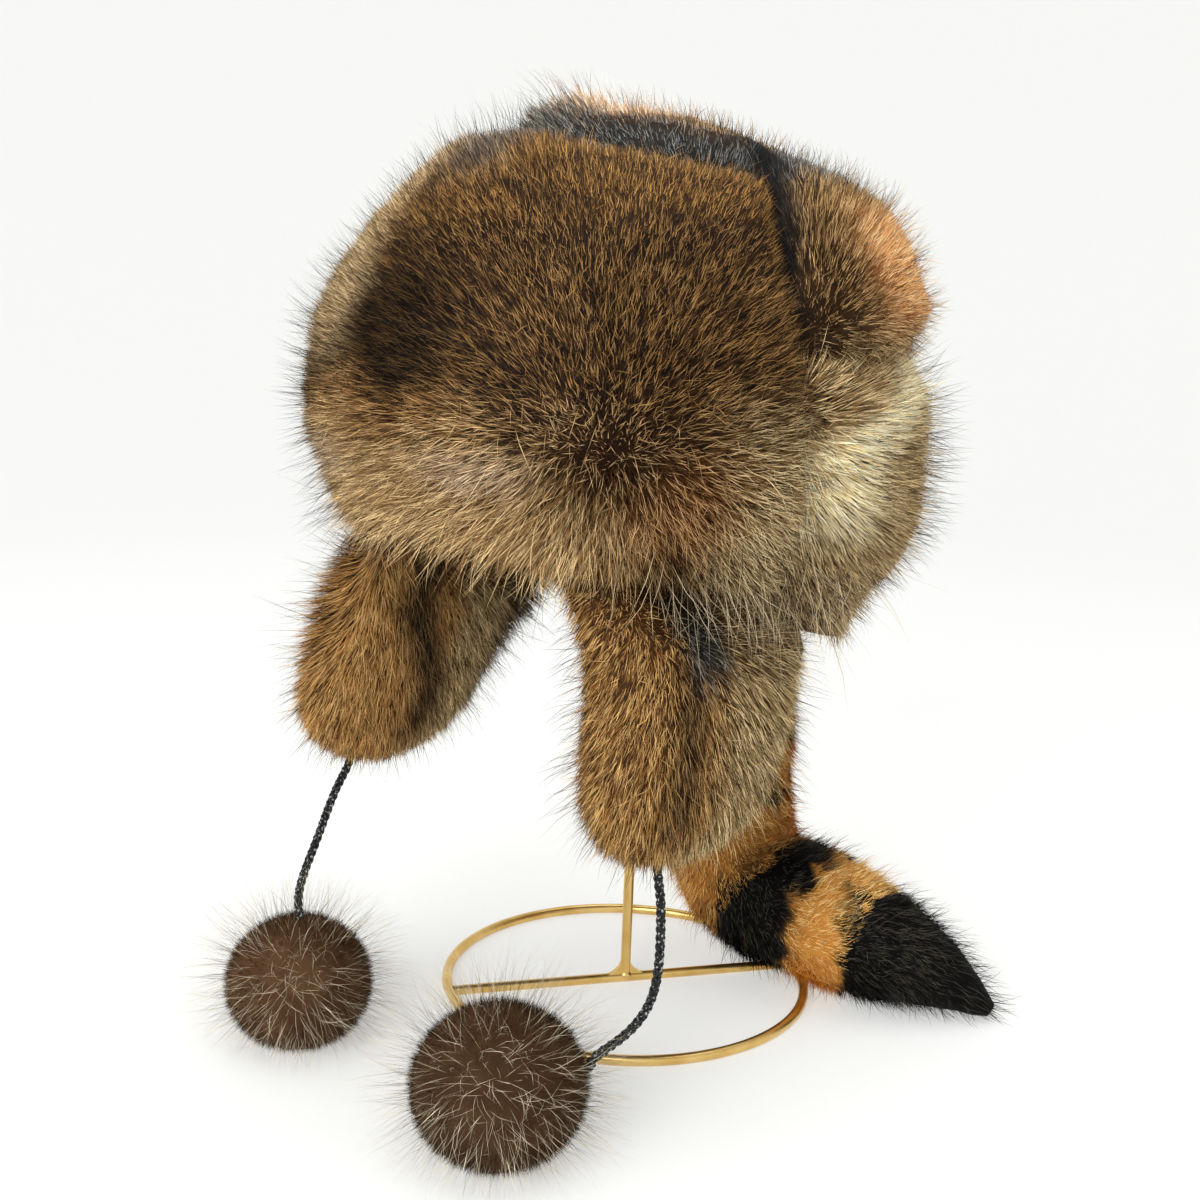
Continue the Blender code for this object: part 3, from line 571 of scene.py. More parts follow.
class Fleece:
    """Collects one piece's undercoat and hairs, and makes them one mesh. Each hair is a narrow leaf along
    a curved line. Every corner carries how far along its hair it is, its hair's own chance number, and the
    two readings of the place on the pelt where the hair shows."""

    def __init__(self, name, node, whole, readings, seed):
        self.name, self.node, self.readings = name, node, readings
        self.rng = np.random.default_rng(seed)
        self.points, self.normals, self.triangles, self.skin = pressed(node, whole)
        self.batches = []

    def grow(self, count, length, lean, width, flow, longer=1.0, rings=2, jitter=0.3, clump=0.0, tuft=20,
             bend=0.4, tips=(0.0, 1.0), where=None):
        """Lengths and widths in metres. lean is degrees off the skin's normal at the root and at the tip,
        flow(spots, ups) the way the hairs are combed, rings the cross lines of a leaf, jitter how far its way
        strays, clump how far the tips of a tuft of so many draw together, bend how far a tip strays sideways,
        tips the range of a hair's chance number, and where(spots) the share of hairs that grow at a place."""
        rng = self.rng
        spots, ups = scatter(self.points, self.normals, self.skin, count, rng)
        if where:
            grown = rng.random(count) < where(spots)
            spots, ups = spots[grown], ups[grown]
            count = len(spots)
        ways = flow(spots, ups) + rng.normal(0, jitter, (count, 3))
        ways -= ups * (ways * ups).sum(1)[:, None]
        strength = np.minimum(np.linalg.norm(ways, axis=1), 1.0)
        ways = unit(ways)
        length = (length(spots) if callable(length) else length) * longer * rng.uniform(*OWN_LENGTH, count)
        length = (length * (UPRIGHT + (1 - UPRIGHT) * strength))[:, None]
        starts, ends = (ups * np.cos(a)[:, None] + ways * np.sin(a)[:, None]
                        for a in np.radians(lean)[:, None] * strength)
        ends = unit(ends + np.cross(ups, ways) * rng.normal(0, bend, (count, 1)))
        steps = np.linspace(0.0, 1.0, rings + 2)
        foot = spots - ups * BURIED
        lines = np.stack([foot + length * (starts * (t - t * t / 2) + ends * (t * t / 2)) for t in steps], 1)
        if clump:
            chosen = rng.choice(count, max(count // tuft, 1), replace=False)
            leader = chosen[nearest(spots[chosen], spots)]
            pull = (lines[leader, -1] - lines[:, -1]) * (clump * rng.uniform(*OWN_PULL, count))[:, None]
            lines += pull[:, None] * (steps ** 2)[None, :, None]
        self.batches.append((kept_near(lines), steps, ups, width * rng.uniform(*OWN_WIDTH, count),
                             rng.uniform(*tips, count)))

    def leaves(self, lines, steps, ups, width, chance, start):
        """One batch's corners, normals and triangles, and for each corner how far along its hair it is, its
        chance number, its hair's place on the pelt, and its place and cell in the baked picture."""
        hairs, rings = len(lines), len(steps) - 2
        runs = unit(lines[:, -1] - lines[:, 0])
        sides = unit(np.cross(runs, ups))
        roll = self.rng.uniform(-LEAF_ROLL, LEAF_ROLL, hairs)[:, None]
        sides = sides * np.cos(roll) + np.cross(runs, sides) * np.sin(roll)
        per_hair = 2 * rings + 2
        shell, shade = np.empty((2, hairs, per_hair, 3))
        spread = np.zeros((per_hair, 2))
        shell[:, 0], shell[:, -1], shade[:, 0], shade[:, -1] = lines[:, 0], lines[:, -1], ups, ups
        spread[0], spread[-1] = (0.5, 0.05), (0.5, 0.95)
        for ring in range(rings):
            wide = (width * (1.0 - LEAF_TAPER * ring) / 2)[:, None]
            for k, way in enumerate((-1, 1)):
                shell[:, 1 + 2 * ring + k] = lines[:, 1 + ring] + sides * wide * way
                shade[:, 1 + 2 * ring + k] = unit(ups + sides * LEAF_BULGE * way)
                spread[1 + 2 * ring + k] = (0.5 + 0.42 * way, steps[1 + ring])
        pattern = [(0, 2, 1)]
        for a in range(1, per_hair - 3, 2):
            pattern += [(a, a + 1, a + 3), (a, a + 3, a + 2)]
        pattern.append((per_hair - 3, per_hair - 2, per_hair - 1))
        faces = start + np.arange(hairs)[:, None, None] * per_hair + np.array(pattern)[None]
        ladder = np.concatenate([[0.0], np.repeat(steps[1:-1], 2), [1.0]])
        shown = lines[:, 0] * (1 - SHOWN) + lines[:, -1] * SHOWN
        return (shell.reshape(-1, 3), shade.reshape(-1, 3), faces.reshape(-1, 3), np.tile(ladder, hairs),
                np.repeat(chance, per_hair), np.repeat(shown, per_hair, axis=0), np.tile(spread, (hairs, 1)),
                np.repeat(np.arange(hairs) // HAIRS_A_CELL, per_hair))

    def piece(self, finish, slot, floor=None):
        count = len(self.points)
        coat = self.points + self.normals * UNDERCOAT_RISE
        parts = [(coat, self.normals, self.triangles, np.full(count, COAT_ALONG), np.full(count, COAT_CHANCE),
                  self.points, np.zeros((count, 2)), np.zeros(count, int))]
        start, cells = count, 0
        for batch in self.batches:
            *part, own_cells = self.leaves(*batch, start)
            parts.append((*part, own_cells + cells))
            start, cells = start + len(part[0]), cells + own_cells.max() + 1
        corners, shade, faces, along, chance, spots, spread, cell = map(np.concatenate, zip(*parts))
        if floor is not None:
            corners[:, 2] = np.maximum(corners[:, 2], floor)
        mesh = bpy.data.meshes.new(self.name)
        mesh.from_pydata(corners.tolist(), [], faces.tolist())
        one, two = self.readings(spots)
        for name, values in (("along", along), ("chance", chance), ("one", one), ("two", two)):
            layer = mesh.attributes.new(name, "FLOAT", "POINT")
            layer.data.foreach_set("value", values.astype(np.float32))
        places = picture_places(faces, spread, cell, cells, len(self.triangles))
        mesh.uv_layers.new(name="OFBake").uv.foreach_set("vector", places.astype(np.float32).ravel())
        mesh.shade_smooth()
        mesh.normals_split_custom_set_from_vertices(shade.astype(np.float32))
        mesh.materials.append(finish)
        piece = placed(self.name, mesh)
        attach(piece, "root")
        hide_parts(self.node)
        return piece


def kept_near(lines):
    """Hairs cut short where they would reach further than PROUD past the part's box, or into the table."""
    low = np.array((cad_low[0] - PROUD, cad_low[1] - PROUD, TABLE_GAP))
    high = np.array(cad_high) + PROUD
    foot, reach = lines[:, :1], lines[:, -1] - lines[:, 0]
    room = np.where(reach > 0, high - lines[:, 0], low - lines[:, 0])
    room = room / np.where(abs(reach) < 1e-6, 1e-6, reach)
    return foot + (lines - foot) * np.clip(room.min(1), 0.1, 1.0)[:, None, None]


def picture_places(faces, spread, cell, cells, coat_faces):
    """Where each face's corners lie in a baked picture: the undercoat's faces in the lowest strip, each in
    a square of its own, and above them a square for each few hairs."""
    across = math.ceil(math.sqrt(coat_faces / COAT_STRIP))
    number = np.arange(coat_faces)[:, None]
    corner = np.array(((0.1, 0.1), (0.9, 0.1), (0.1, 0.9)))
    coat = np.stack([(number % across + corner[:, 0]) / across,
                     (number // across + corner[:, 1]) / across], 2)
    wide = math.ceil(math.sqrt(cells / (1 - COAT_STRIP) * 1.02))
    ids = faces[coat_faces:].ravel()
    start = math.ceil(COAT_STRIP * wide) + 1
    hair = np.stack([cell[ids] % wide, cell[ids] // wide + start], 1) + spread[ids]
    return np.concatenate([coat.reshape(-1, 2), hair / (wide + 2)])


def cap_readings(spots):
    """Degrees from the front, the same on both sides, and degrees above the brim's widest line."""
    q = (spots - np.array(DOME)) / np.array(DOME_HALF)
    around = np.degrees(np.arctan2(np.abs(q[:, 0]), -q[:, 1]))
    return around, np.degrees(np.arcsin(np.clip(q[:, 2] / np.linalg.norm(q, axis=1), -1, 1)))


def away_from(whorl):
    """A combing that leads away from a whorl, and beyond the parting from its twin on the right."""
    def flow(spots, ups):
        side = np.where(spots[:, 0] >= PARTING, 1.0, -1.0)
        centre = np.stack([DOME.x + side * (whorl.x - DOME.x), np.full(len(spots), whorl.y),
                           np.full(len(spots), whorl.z)], 1)
        ways = spots - centre
        ways -= ups * (ways * ups).sum(1)[:, None]
        reach = np.linalg.norm(ways, axis=1)
        ways = unit(ways) * np.minimum(reach / SPREAD, 1.0)[:, None]
        ways[:, 0] *= soft(np.abs(spots[:, 0] - PARTING), 0.0, PARTING_FADE)
        return ways
    return flow


def pelt(finish, plain, *marks):
    """The colours of a pelt's hairs at the root, in the middle and at the tip: the plain ones, and over
    them the three of each mark, as far as the mark's mask goes."""
    colours = [tint(*colour) for colour in plain]
    for mask, *own in marks:
        colours = [finish.mix(mask, under, tint(*over)) for under, over in zip(colours, own)]
    return colours


def own_share(finish, factor):
    """A number from 0 to 1 that every hair has for itself, another one for each factor."""
    return (finish.readings("chance")[0] * factor) % 1.0


def fur_colour(finish, root, middle, tip, tipped, inked):
    """A hair's colour along its length: the dark root, then the middle. One share of the hairs ends in
    the pale tip, another share in black, and the hairs of the longest wisps in cream."""
    along, chance = finish.readings("along", "chance")
    reach = along - own_share(finish, 7.3) * 0.2
    pale = reach.above(*TIP_FROM) * chance.above(1 - tipped, 1.001 - tipped)
    ink = reach.above(*INK_FROM) * (1 - chance.above(inked, inked + 0.001))
    wisp = along.above(*CREAM_FROM) * chance.above(WISP - 0.1, WISP)
    colour = finish.mix(pale, finish.mix(reach.above(*MIDDLE_FROM), root, middle), tip)
    return finish.mix(wisp, finish.mix(ink, colour, tint(*INK)), tint(*CREAM))


def lit(finish, colour, low=0.6, high=1.4):
    """The colour made a little darker or paler from hair to hair."""
    shade = low + (high - low) * own_share(finish, 37.0)
    grey = finish.node("ShaderNodeCombineXYZ", {}, {0: shade, 1: shade, 2: shade})
    return finish.node("ShaderNodeVectorMath", {"operation": "MULTIPLY"}, {0: colour, 1: grey})


def furred(finish, hairs, tipped, inked, *shades):
    return finish.surface(Base_Color=lit(finish, fur_colour(finish, *hairs, tipped, inked), *shades))


def ragged(finish, reading, depth):
    """A reading that each hair takes a little too high or too low, so that a mark's edge is uneven."""
    return reading + (own_share(finish, 13.7) - 0.5) * depth


def mottled(finish, scale):
    """Soft spots over the pelt, so many to a metre."""
    return finish.noise(finish.place(), scale, 2.0).above(0.40, 0.62)


def top_band(finish, around, lift):
    """The black band over the top of the head, which both pelts share; its grey is partly painted sheen."""
    return (ragged(finish, lift, 9.0) - (71.0 - 0.0013 * around * around)).near(0.0, 10.5, 2.0)


def side_seam(finish, around, lift):
    """The black hair along the seam between the front and the back, narrower lower down."""
    climb = (lift - 25.0).at_least(0.0)
    beside = ragged(finish, around, 2.0) - (85.0 + 0.019 * climb * climb)
    return beside.near(0.0, 3.1 + 0.19 * climb, 1.4) * lift.above(4.0, 18.0)


FUR = {"Roughness": 0.6, "Specular_IOR_Level": 0.07}
BLACK = ((14, 12, 11), (25, 23, 22), (44, 42, 40))
# Grey for dark hair: its grey middles and pale tips are partly painted sheen on black hair.
SLATE = ((32, 31, 30), (66, 68, 67), (136, 138, 135))

brow = Finish("front_fur", **FUR)
around, lift = brow.readings("one", "two")
mottle = mottled(brow, 70.0)
cloud = brow.noise(brow.place(), 30.0)
uneven = ragged(brow, lift, 7.0) + 26.0 * (cloud - 0.5)
beyond = 1 - (brow.split(brow.place())[0] + 0.03 * (cloud - 0.5)).above(-0.030, 0.0)
side = around.above(60.0, 76.0) * (1 - lift.above(-14.0, 10.0))
brim = (0 - uneven).above(-4.0, 13.0) * (1 - around.above(44.0, 64.0))
hairs = pelt(
    brow, ((23, 15, 9), (50, 35, 20), (152, 114, 68)),
    (mottle, (29, 20, 12), (68, 48, 28), (168, 128, 78)),
    # the brown above the brow, dark clouds in it and the darkest fur over the eyes
    (lift.near(54.0, 22.0, 8.0) * 0.9, (38, 25, 13), (100, 70, 37), (182, 136, 76)),
    (cloud.above(0.50, 0.62) * around.near(0.0, 62.0, 30.0) * lift.near(28.0, 44.0, 20.0) * 0.6,
     (17, 12, 8), (36, 25, 15), (106, 80, 48)),
    (around.near(2.0, 34.0, 5.0) * uneven.near(16.0, 24.0, 4.0),
     (15, 11, 7), (25, 18, 11), (80, 60, 36)),
    # the paler right side, a rust line over the brim, the brim itself and its palest spot
    (beyond * lift.above(-2.0, 20.0) * 0.9, (56, 41, 27), (136, 108, 73), (226, 198, 152)),
    (uneven.near(-2.0, 10.0, 1.0) * around.near(6.0, 26.0, 4.0) * 0.6,
     (50, 33, 19), (122, 84, 48), (200, 152, 96)),
    (brim, (62, 44, 27), (152, 116, 73), (248, 212, 156)),
    (around.near(24.0, 18.0, 2.0) * lift.near(-13.0, 8.0, 1.0) * 0.5,
     (112, 92, 72), (192, 164, 136), (244, 224, 196)),
    # the fur before the ear, with a rust patch and a dark one
    (side * 0.9, (46, 33, 20), (134, 102, 62), (255, 230, 178)),
    (around.near(60.0, 17.0, 2.0) * lift.near(-19.0, 17.0, 2.0) * 0.9,
     (58, 32, 16), (114, 70, 37), (222, 174, 120)),
    (around.near(48.0, 20.0) * lift.near(-8.0, 16.0) * 0.9, (36, 24, 14), (74, 50, 30), (206, 168, 120)),
    # the black band over the head, its grey partly painted sheen, which dips in front, the very top, and the
    # side seam
    (top_band(brow, around, lift), *SLATE),
    (around.near(0.0, 26.0, 4.0) * ragged(brow, lift, 12.0).near(60.0, 15.0, 2.0) * 0.6, *SLATE),
    (ragged(brow, lift, 6.0).above(78.0, 81.0), (120, 88, 62), (200, 160, 122), (246, 220, 188)),
    (side_seam(brow, around, lift), *BLACK))
furred(brow, hairs, 0.36, 0.12)


def brow_length(spots):
    """Short above the brow, longer at the very top, and long along the brim before the ear."""
    around, lift = cap_readings(spots)
    fringe = 0.010 - 0.009 * soft(around, 44.0, 62.0)
    return (0.0175 + fringe * soft(-lift, 2.0, 24.0) - 0.0045 * soft(lift, 12.0, 34.0)
            + 0.005 * soft(lift, 44.0, 60.0) * (1 - soft(around, 20.0, 44.0)))


def low_rim(spots):
    """All the hairs along the brim's lower edge, and few above it."""
    return 0.10 + 0.90 * soft(-cap_readings(spots)[1], 12.0, 28.0)


def below_the_ear(spots):
    """Where long cream hairs cross the others, down to the flap's top."""
    around, lift = cap_readings(spots)
    return soft(around, 40.0, 62.0) * (0.3 * soft(-lift, -12.0, 4.0) + 0.5 * soft(-lift, 10.0, 24.0))


def ear_rim(spots):
    """The rim over the flap, from which the longest hairs fall."""
    around, lift = cap_readings(spots)
    return soft(around, 46.0, 62.0) * soft(-lift, 16.0, 26.0)


def falling(spots, ups):
    return np.tile((0.0, 0.1, -1.0), (len(spots), 1))


def hanging(spots, ups):
    """The long hairs of a lower edge fall half the way that their piece is combed and half down."""
    return combed(spots, ups) * 0.6 + (0.0, 0.0, -0.6)


front = Fleece("front_fur", "front_panel", False, cap_readings, 11)
combed = away_from(WHORL)
front.grow(75000, brow_length, (14, 58), 0.00044, combed, rings=1, jitter=0.32, clump=0.30, tuft=12,
           bend=0.25)
front.grow(3400, brow_length, (6, 38), 0.00022, combed, longer=1.7, jitter=0.18, bend=0.3, tips=(0.0, 0.12))
front.grow(3400, brow_length, (10, 50), 0.00028, combed, longer=1.25, jitter=0.4, bend=0.6, tips=(0.7, 1.0))
front.grow(6800, brow_length, (20, 66), 0.0003, hanging, longer=1.5, clump=0.25, bend=0.5, tips=(0.55, 1.0),
           where=low_rim)
front.grow(8000, 0.026, (14, 56), 0.00034, hanging, jitter=0.4, bend=0.6, tips=(0.8, 1.0),
           where=below_the_ear)
front.grow(4200, 0.070, (28, 70), 0.00024, falling, jitter=0.45, clump=0.3, tuft=4, bend=0.5,
           tips=(WISP, WISP + 0.4), where=ear_rim)
front.piece(brow.material, "fur_brown")


# The crown panel closes the top and the upper back. Its fur is rust red over each temple and peach
# on top, and fans out from the lower end of each side seam.
CROWN_WHORL = Vector((0.130, -0.028, 0.318))

crown = Finish("crown_fur", **FUR)
around, lift = crown.readings("one", "two")
mottle = mottled(crown, 60.0)
hairs = pelt(
    crown, ((36, 25, 15), (80, 58, 34), (174, 138, 90)),
    (mottle, (46, 32, 19), (100, 72, 43), (194, 156, 106)),
    ((1 - lift.above(6.0, 20.0)) * (1 - around.above(112.0, 140.0)),
     (52, 36, 22), (130, 98, 62), (244, 210, 156)),
    (around.near(115.0, 19.0, 6.0) * lift.near(27.0, 17.0, 5.0),
     (142, 84, 45), (222, 150, 86), (255, 214, 158)),
    (ragged(crown, lift, 6.0).above(76.0, 80.0), (120, 88, 62), (200, 160, 122), (246, 220, 188)),
    (top_band(crown, around, lift), *SLATE),
    (side_seam(crown, around, lift), *BLACK))
furred(crown, hairs, 0.50, 0.06)


def crown_length(spots):
    """Short along the seams and over the top, and longer over the temples and before the very top."""
    around, lift = cap_readings(spots)
    return (0.0135 + 0.003 * soft(lift, 24.0, 32.0) * (1 - soft(lift, 36.0, 50.0))
            - 0.0025 * soft(lift, 48.0, 62.0) + 0.003 * soft(lift, 74.0, 84.0)
            + 0.008 * soft(lift, 68.0, 76.0) * (1 - soft(around, 24.0, 44.0)))


top_fur = Fleece("crown_fur", "crown_panel", False, cap_readings, 12)
combed = away_from(CROWN_WHORL)
top_fur.grow(56000, crown_length, (16, 58), 0.00054, combed, rings=1, jitter=0.28, clump=0.42, tuft=14,
             bend=0.15)
top_fur.grow(2400, crown_length, (8, 40), 0.00022, combed, longer=1.6, tips=(0.0, 0.08))
top_fur.grow(3400, crown_length, (8, 48), 0.0003, combed, longer=1.7, jitter=0.45, bend=0.8, tips=(0.6, 1.0))
top_fur.piece(crown.material, "fur_tan")


# The neck cuff goes round the back from seam to seam, olive tan with black tips and with a
# cream stripe that runs down behind each ear.
CUFF_WHORL = Vector((0.128, -0.060, 0.300))

nape = Finish("cuff_fur", **FUR)
around, lift = nape.readings("one", "two")
mottle = mottled(nape, 60.0)
behind = ragged(nape, around, 7.0) - (91.0 + 32.0 * lift.above(-11.0, 9.0))
stripe = behind.near(0.0, 13.0, 4.5) * (1 - (0 - lift).above(16.0, 30.0))
hairs = pelt(
    nape, ((44, 34, 21), (116, 92, 57), (222, 190, 138)),
    (mottle, (58, 45, 28), (152, 124, 80), (238, 210, 158)),
    ((1 - behind.above(-12.0, 0.0)) * 0.8, (60, 44, 28), (146, 114, 74), (230, 202, 152)),
    (stripe, (190, 156, 104), (255, 232, 176), (255, 250, 220)),
    ((0 - lift).above(18.0, 36.0) * 0.6, (52, 39, 26), (132, 104, 70), (212, 182, 136)))
furred(nape, hairs, 0.45, 0.10)


def cuff_length(spots):
    """Shorter along the lower edge, where the fur turns in."""
    return 0.0205 - 0.0085 * soft(-cap_readings(spots)[1], 16.0, 40.0)


cuff = Fleece("cuff_fur", "neck_cuff", False, cap_readings, 13)
combed = away_from(CUFF_WHORL)
cuff.grow(56000, cuff_length, (18, 60), 0.00056, combed, rings=1, jitter=0.26, clump=0.45, tuft=16, bend=0.12)
cuff.grow(3400, cuff_length, (8, 42), 0.00022, combed, longer=1.8, jitter=0.18, tips=(0.0, 0.12))
cuff.grow(2600, cuff_length, (12, 54), 0.0003, combed, longer=1.5, tips=(0.6, 1.0))
cuff.grow(9000, 0.019, (20, 66), 0.0003, hanging, clump=0.2, bend=0.5, tips=(0.4, 1.0),
          where=lambda spots: soft(-cap_readings(spots)[1], 30.0, 46.0))
cuff.grow(1800, 0.060, (28, 70), 0.00024, falling, jitter=0.45, clump=0.3, tuft=4, bend=0.5,
          tips=(WISP, WISP + 0.4),
          where=lambda spots: ear_rim(spots) * (1 - soft(cap_readings(spots)[0], 96.0, 110.0)))
cuff.piece(nape.material, "fur_brown")


# The ear flaps hang from the wall's rim, furred on both sides. Their fur lies downwards, orange
# brown before and greyish behind, with a black stripe between.
FLAP_MIDDLE_TOP, FLAP_MIDDLE_END = -0.054, -0.088      # the flap's middle line, fore and aft
FLAP_TOP, FLAP_END = 0.236, 0.120
FLAP_HALF = 0.052


def flap_readings(spots):
    """How far behind the flap's middle line, and how far down."""
    down = (FLAP_TOP - spots[:, 2]) / (FLAP_TOP - FLAP_END)
    middle = FLAP_MIDDLE_TOP + (FLAP_MIDDLE_END - FLAP_MIDDLE_TOP) * np.clip(down, 0, 1)
    return (spots[:, 1] - middle) / FLAP_HALF, down


def downwards(spots, ups):
    """Down and a little forwards, and fuller along the edges of the right flap."""
    behind, down = flap_readings(spots)
    ways = unit(np.stack([np.zeros(len(spots)), 0.35 * behind - 0.12, np.full(len(spots), -1.0)], 1))
    return ways * (1 - 0.55 * fuller_edge(spots, behind, down))[:, None]


def fuller_edge(spots, behind, down):
    return (spots[:, 0] < 0) * soft(np.abs(behind), 0.6, 1.0) * (1 - soft(down, 0.45, 0.75))


def flap_finish(name, orange, orange_end, stripe, shadow_spot, edge, shade):
    """orange is the fur's colour before. stripe has the places behind the middle line of its upper and lower
    end, its half width and its depth. The next argument places a painted shadow near the flap's top, under
    the brim, by how far behind the middle line and how far down. edge and shade are how strong the painted
    shade is along the flap's top edge under the brim, and over its hind part, where it lies in shade."""
    flap = Finish(name, **FUR)
    behind, down = flap.readings("one", "two")
    upper, lower, half, stripe_depth = stripe
    dark = (behind - (upper + (lower - upper) * down.above(0.25, 0.75))).near(0.0, half)
    mottle = mottled(flap, 70.0)
    hairs = pelt(
        flap, ((58, 38, 21), orange, (222, 178, 114)),
        (mottle * 0.6, (42, 28, 16), (106, 74, 42), (196, 152, 96)),
        (behind.above(orange_end - 0.15, orange_end + 0.25), (52, 40, 25), (146, 117, 74), (244, 216, 164)),
        (dark * (1 - down.above(0.80, 1.0)) * stripe_depth, (22, 17, 13), (50, 38, 26), (112, 90, 62)),
        # painted shade: a dark strip along the flap's top under the brim, the hind part darker where it lies
        # in shade, and a painted shadow near the top
        ((1 - down.above(0.0, 0.20)) * edge, (16, 14, 13), (32, 28, 25), (74, 64, 54)),
        (behind.above(0.35, 0.95) * shade, (34, 27, 19), (72, 58, 40), (136, 116, 86)),
        (behind.near(shadow_spot[0], 0.27, 0.08) * ragged(flap, down, 0.1).near(shadow_spot[1], 0.17, 0.05) * 0.9,
         *SLATE))
    return furred(flap, hairs, 0.45, 0.10)


def flap_length(spots):
    """Shorter along the left flap's edges, and longer along the right one's."""
    behind, down = flap_readings(spots)
    left = spots[:, 0] > 0
    above = 1 - soft(down, 0.3, 0.6)
    return (0.019 - 0.004 * soft(down, 0.72, 1.0) + 0.007 * fuller_edge(spots, behind, down)
            - left * (0.007 * soft(behind, 0.4, 0.9) + 0.002 * soft(-behind, 0.6, 1.0) * above))


# Each row: the side, the seed, the orange before, where the grey behind begins, the stripe, the painted
# shadow's place, and how strong the painted shade is along the top and over the hind part.
for side, seed, *marks in (
        ("left", 21, (142, 100, 55), -0.30, (-0.54, -0.54, 0.22, 0.75), (-0.40, 0.25), 0.5, 0.0),
        ("right", 22, (178, 126, 70), -0.05, (-0.56, -0.09, 0.36, 1.0), (-0.50, 0.03), 0.9, 0.95)):
    flap = Fleece(f"{side}_flap_fur", f"ear_flap_{side}", True, flap_readings, seed)
    flap.grow(38000, flap_length, (28, 76), 0.00044, downwards, rings=1, jitter=0.20, clump=0.36, tuft=12,
              bend=0.15)
    flap.grow(1800, flap_length, (10, 48), 0.00022, downwards, longer=1.7, tips=(0.0, 0.12))
    flap.grow(1400, flap_length, (14, 58), 0.0003, downwards, longer=1.4, tips=(0.6, 1.0))
    flap.piece(flap_finish(f"{side}_flap_fur", *marks), "fur_brown")


# The tail is a whole raccoon's tail, sewn on at the back. It hangs to the table, lies over the
# stand's ring and ends in a black tip, with black and tan rings.
TAIL_TURN = 0.030               # the tail hangs as far as this X, and lies on the table beyond it
HANGING = (0.188, 0.055)        # the heights between which it hangs
LYING = 0.09                    # the height under which it lies
SLICE = 0.008                   # from one cut to the next where its middle is found
TAIL_STEP = 0.004
RING_EDGE = 0.006               # half of a ring's soft edge
# Where each black ring starts and ends, from the root. The last is the tip.
RINGS = ((0.030, 0.046), (0.074, 0.092), (0.118, 0.142), (0.200, 0.236), (0.276, 0.400))

points = np.array([vert.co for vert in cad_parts["tail"].data.vertices])
drop = [points[(abs(points[:, 2] - z) < SLICE) & (points[:, 0] < TAIL_TURN)].mean(0)
        for z in np.arange(*HANGING, -SLICE)]
lying = [points[(abs(points[:, 0] - x) < SLICE) & (points[:, 2] < LYING)].mean(0)
         for x in np.arange(TAIL_TURN - SLICE, points[:, 0].max() - SLICE, SLICE)]
tail_line = smooth_line([*drop, *lying], TAIL_STEP)
tail_reach = np.arange(len(tail_line)) * TAIL_STEP
tail_run = unit(np.gradient(tail_line, axis=0))


def tail_readings(spots):
    """Metres from the tail's root along it, and the height."""
    near = nearest(tail_line, spots)
    return tail_reach[near] + ((spots - tail_line[near]) * tail_run[near]).sum(1), spots[:, 2]


def to_the_tip(spots, ups):
    return tail_run[nearest(tail_line, spots)]


ringed = Finish("tail_fur", **FUR)
reach, = ringed.readings("one")
uneven = ragged(ringed, reach, 0.007) + 0.014 * (ringed.noise(ringed.place(), 55.0, 2.0) - 0.5)
black = 0.0
for start, end in RINGS:
    ended = uneven.above(end - RING_EDGE, end + RING_EDGE)
    black = black + uneven.above(start - RING_EDGE, start + RING_EDGE) * (1 - ended)
hairs = pelt(
    ringed, ((148, 96, 44), (216, 156, 80), (244, 196, 118)),
    (reach.above(0.225, 0.255), (186, 127, 60), (238, 176, 92), (255, 226, 156)),
    (black, (13, 12, 11), (26, 24, 22), (78, 74, 66)))
furred(ringed, hairs, 0.45, 0.0, 0.75, 1.25)


def tail_length(spots):
    """Shorter at the tip, where every hair lies along the tail."""
    return 0.0155 - 0.006 * soft(tail_readings(spots)[0], tail_reach[-1] - 0.03, tail_reach[-1])


def at_the_tip(spots):
    return soft(tail_readings(spots)[0], tail_reach[-1] - 0.07, tail_reach[-1] - 0.01)


tail = Fleece("tail_fur", "tail", True, tail_readings, 31)
tail.grow(43000, tail_length, (26, 68), 0.00046, to_the_tip, rings=1, jitter=0.24, clump=0.36, tuft=14,
          bend=0.2)
tail.grow(3200, tail_length, (16, 60), 0.0003, to_the_tip, longer=1.5)
tail.grow(7000, 0.026, (34, 76), 0.0003, to_the_tip, jitter=0.35, where=at_the_tip)
tail.piece(ringed.material, "fur_dark", floor=TABLE_GAP)


# The pompoms are fox fur balls on the cords' ends: a dense brown core, long cream guard hairs
# that hang together in wisps, and a faint halo of the finest pale hair.
def no_way(spots, ups):
    return np.zeros_like(spots)


def drooping(spots, ups):
    return np.tile((0.25, 0.05, -0.55), (len(spots), 1))


def no_readings(spots):
    """A pompom has no marks that follow the place."""
    return np.zeros((2, len(spots)))


def pompom_finish(name, paleness):
    fluff = Finish(name, Roughness=0.75, Specular_IOR_Level=0.05)
    chance, along = fluff.readings("chance", "along")
    core = fluff.mix(mottled(fluff, 60.0), tint(86, 63, 44), tint(102, 77, 55))
    core = fluff.mix(along.above(0.0, 0.6), tint(68, 48, 33), core)
    core = lit(fluff, core, paleness - 0.15, paleness + 0.15)
    cream = chance.above(WISP - 0.1, WISP) * along.above(0.30, 0.60)
    return fluff.surface(Base_Color=fluff.mix(cream, core, tint(255, 240, 210)))


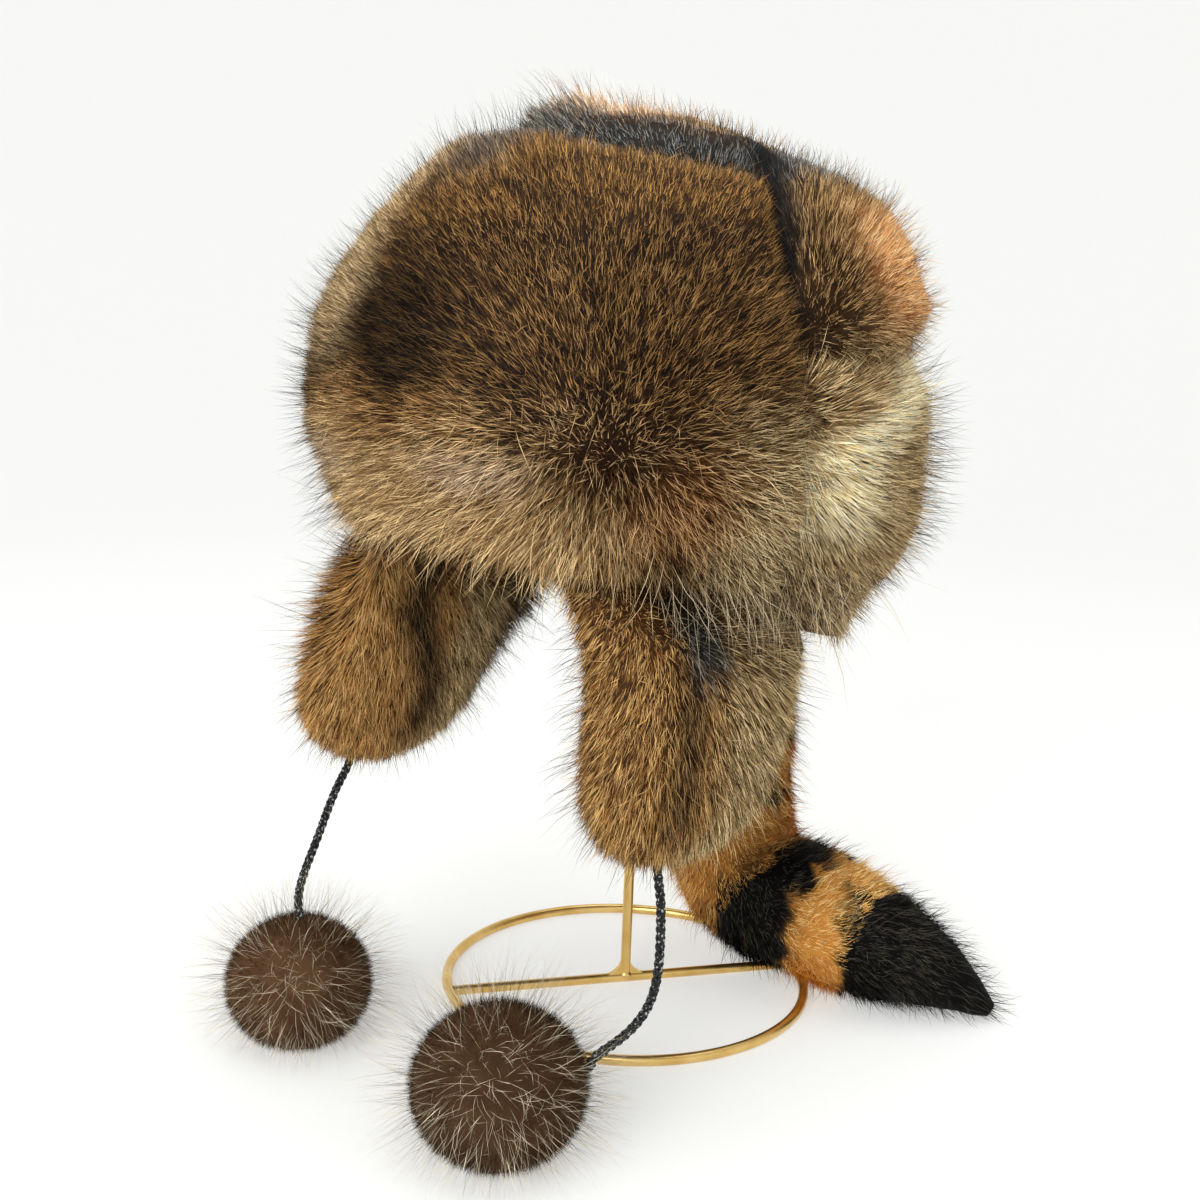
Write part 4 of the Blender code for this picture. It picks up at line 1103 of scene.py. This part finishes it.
for side, seed, paleness in (("left", 41, 0.66), ("right", 42, 1.0)):
    pompom = Fleece(f"{side}_pompom_fur", f"pompom_{side}", True, no_readings, seed)
    pompom.grow(34000, 0.0102, (4, 30), 0.00033, no_way, rings=1, jitter=0.9, clump=0.10, tuft=60, bend=0.0)
    pompom.grow(90, 0.030, (16, 66), 0.00032, drooping, rings=3, jitter=0.6, clump=0.6, tuft=3, bend=0.6,
                tips=(WISP, WISP + 0.5))
    pompom.grow(2400, 0.040, (8, 40), 0.0001, drooping, jitter=0.7, bend=0.6, tips=(WISP, WISP + 0.5))
    piece = pompom.piece(pompom_finish(f"{side}_pompom_fur", paleness), "pompom_fur", floor=TABLE_GAP)
    cord, line, length = left_cord if side == "left" else right_cord


# The table is a seamless sweep of pale paper, bright in itself, as if lit through. One large soft
# box hangs above, a second stands before the cap, and even white light comes from everywhere.
SWEEP_FLAT, SWEEP_BEND, SWEEP_WALL = 1.5, 1.1, 1.1

paper = Finish("lit_paper", Roughness=0.9, Specular_IOR_Level=0.1, Emission_Color=(1.0, 1.0, 0.99, 1.0),
               Emission_Strength=0.45)
grain = paper.noise(paper.place(), 320.0)
paper.surface(Base_Color=paper.mix(grain, tint(184, 185, 183), tint(188, 189, 187)))
profile = [(0.0, 0.0), (SWEEP_FLAT * 0.5, 0.0), (SWEEP_FLAT, 0.0)]
profile += [(SWEEP_FLAT + SWEEP_BEND * math.sin(a), SWEEP_BEND * (1 - math.cos(a)))
            for a in np.radians(np.arange(7.5, 91, 7.5))]
profile.append((SWEEP_FLAT + SWEEP_BEND, SWEEP_BEND + SWEEP_WALL))
bm = bmesh.new()
verts = [bm.verts.new((r, 0.0, z)) for r, z in profile]
edges = [bm.edges.new(pair) for pair in zip(verts, verts[1:])]
bmesh.ops.spin(bm, geom=verts + edges, cent=(0, 0, 0), axis=(0, 0, 1), angle=2 * math.pi, steps=96,
               use_merge=True)
bmesh.ops.remove_doubles(bm, verts=bm.verts, dist=WELD)
table = one_skin("table", bm, paper)


def soft_box(name, place, target, size, power):
    light = bpy.data.lights.new(name, "AREA")
    light.shape, light.size, light.energy = "DISK", size, power
    lamp = placed(name, light)
    lamp.location = place
    lamp.rotation_euler = (Vector(target) - Vector(place)).to_track_quat("-Z", "Y").to_euler()


soft_box("top_box", (0.1, 0.1, 1.9), (0.0, 0.0, 0.2), 1.6, 19.0)
soft_box("front_box", (0.5, -1.4, 0.9), (0.0, 0.0, 0.2), 1.0, 18.0)
world = bpy.data.worlds.new("white_room")
world.use_nodes = True
world.node_tree.nodes["Background"].inputs["Color"].default_value = (1.0, 0.99, 0.97, 1.0)
world.node_tree.nodes["Background"].inputs["Strength"].default_value = 0.52
bpy.context.scene.world = world
bpy.context.scene.view_settings.view_transform = "Standard"
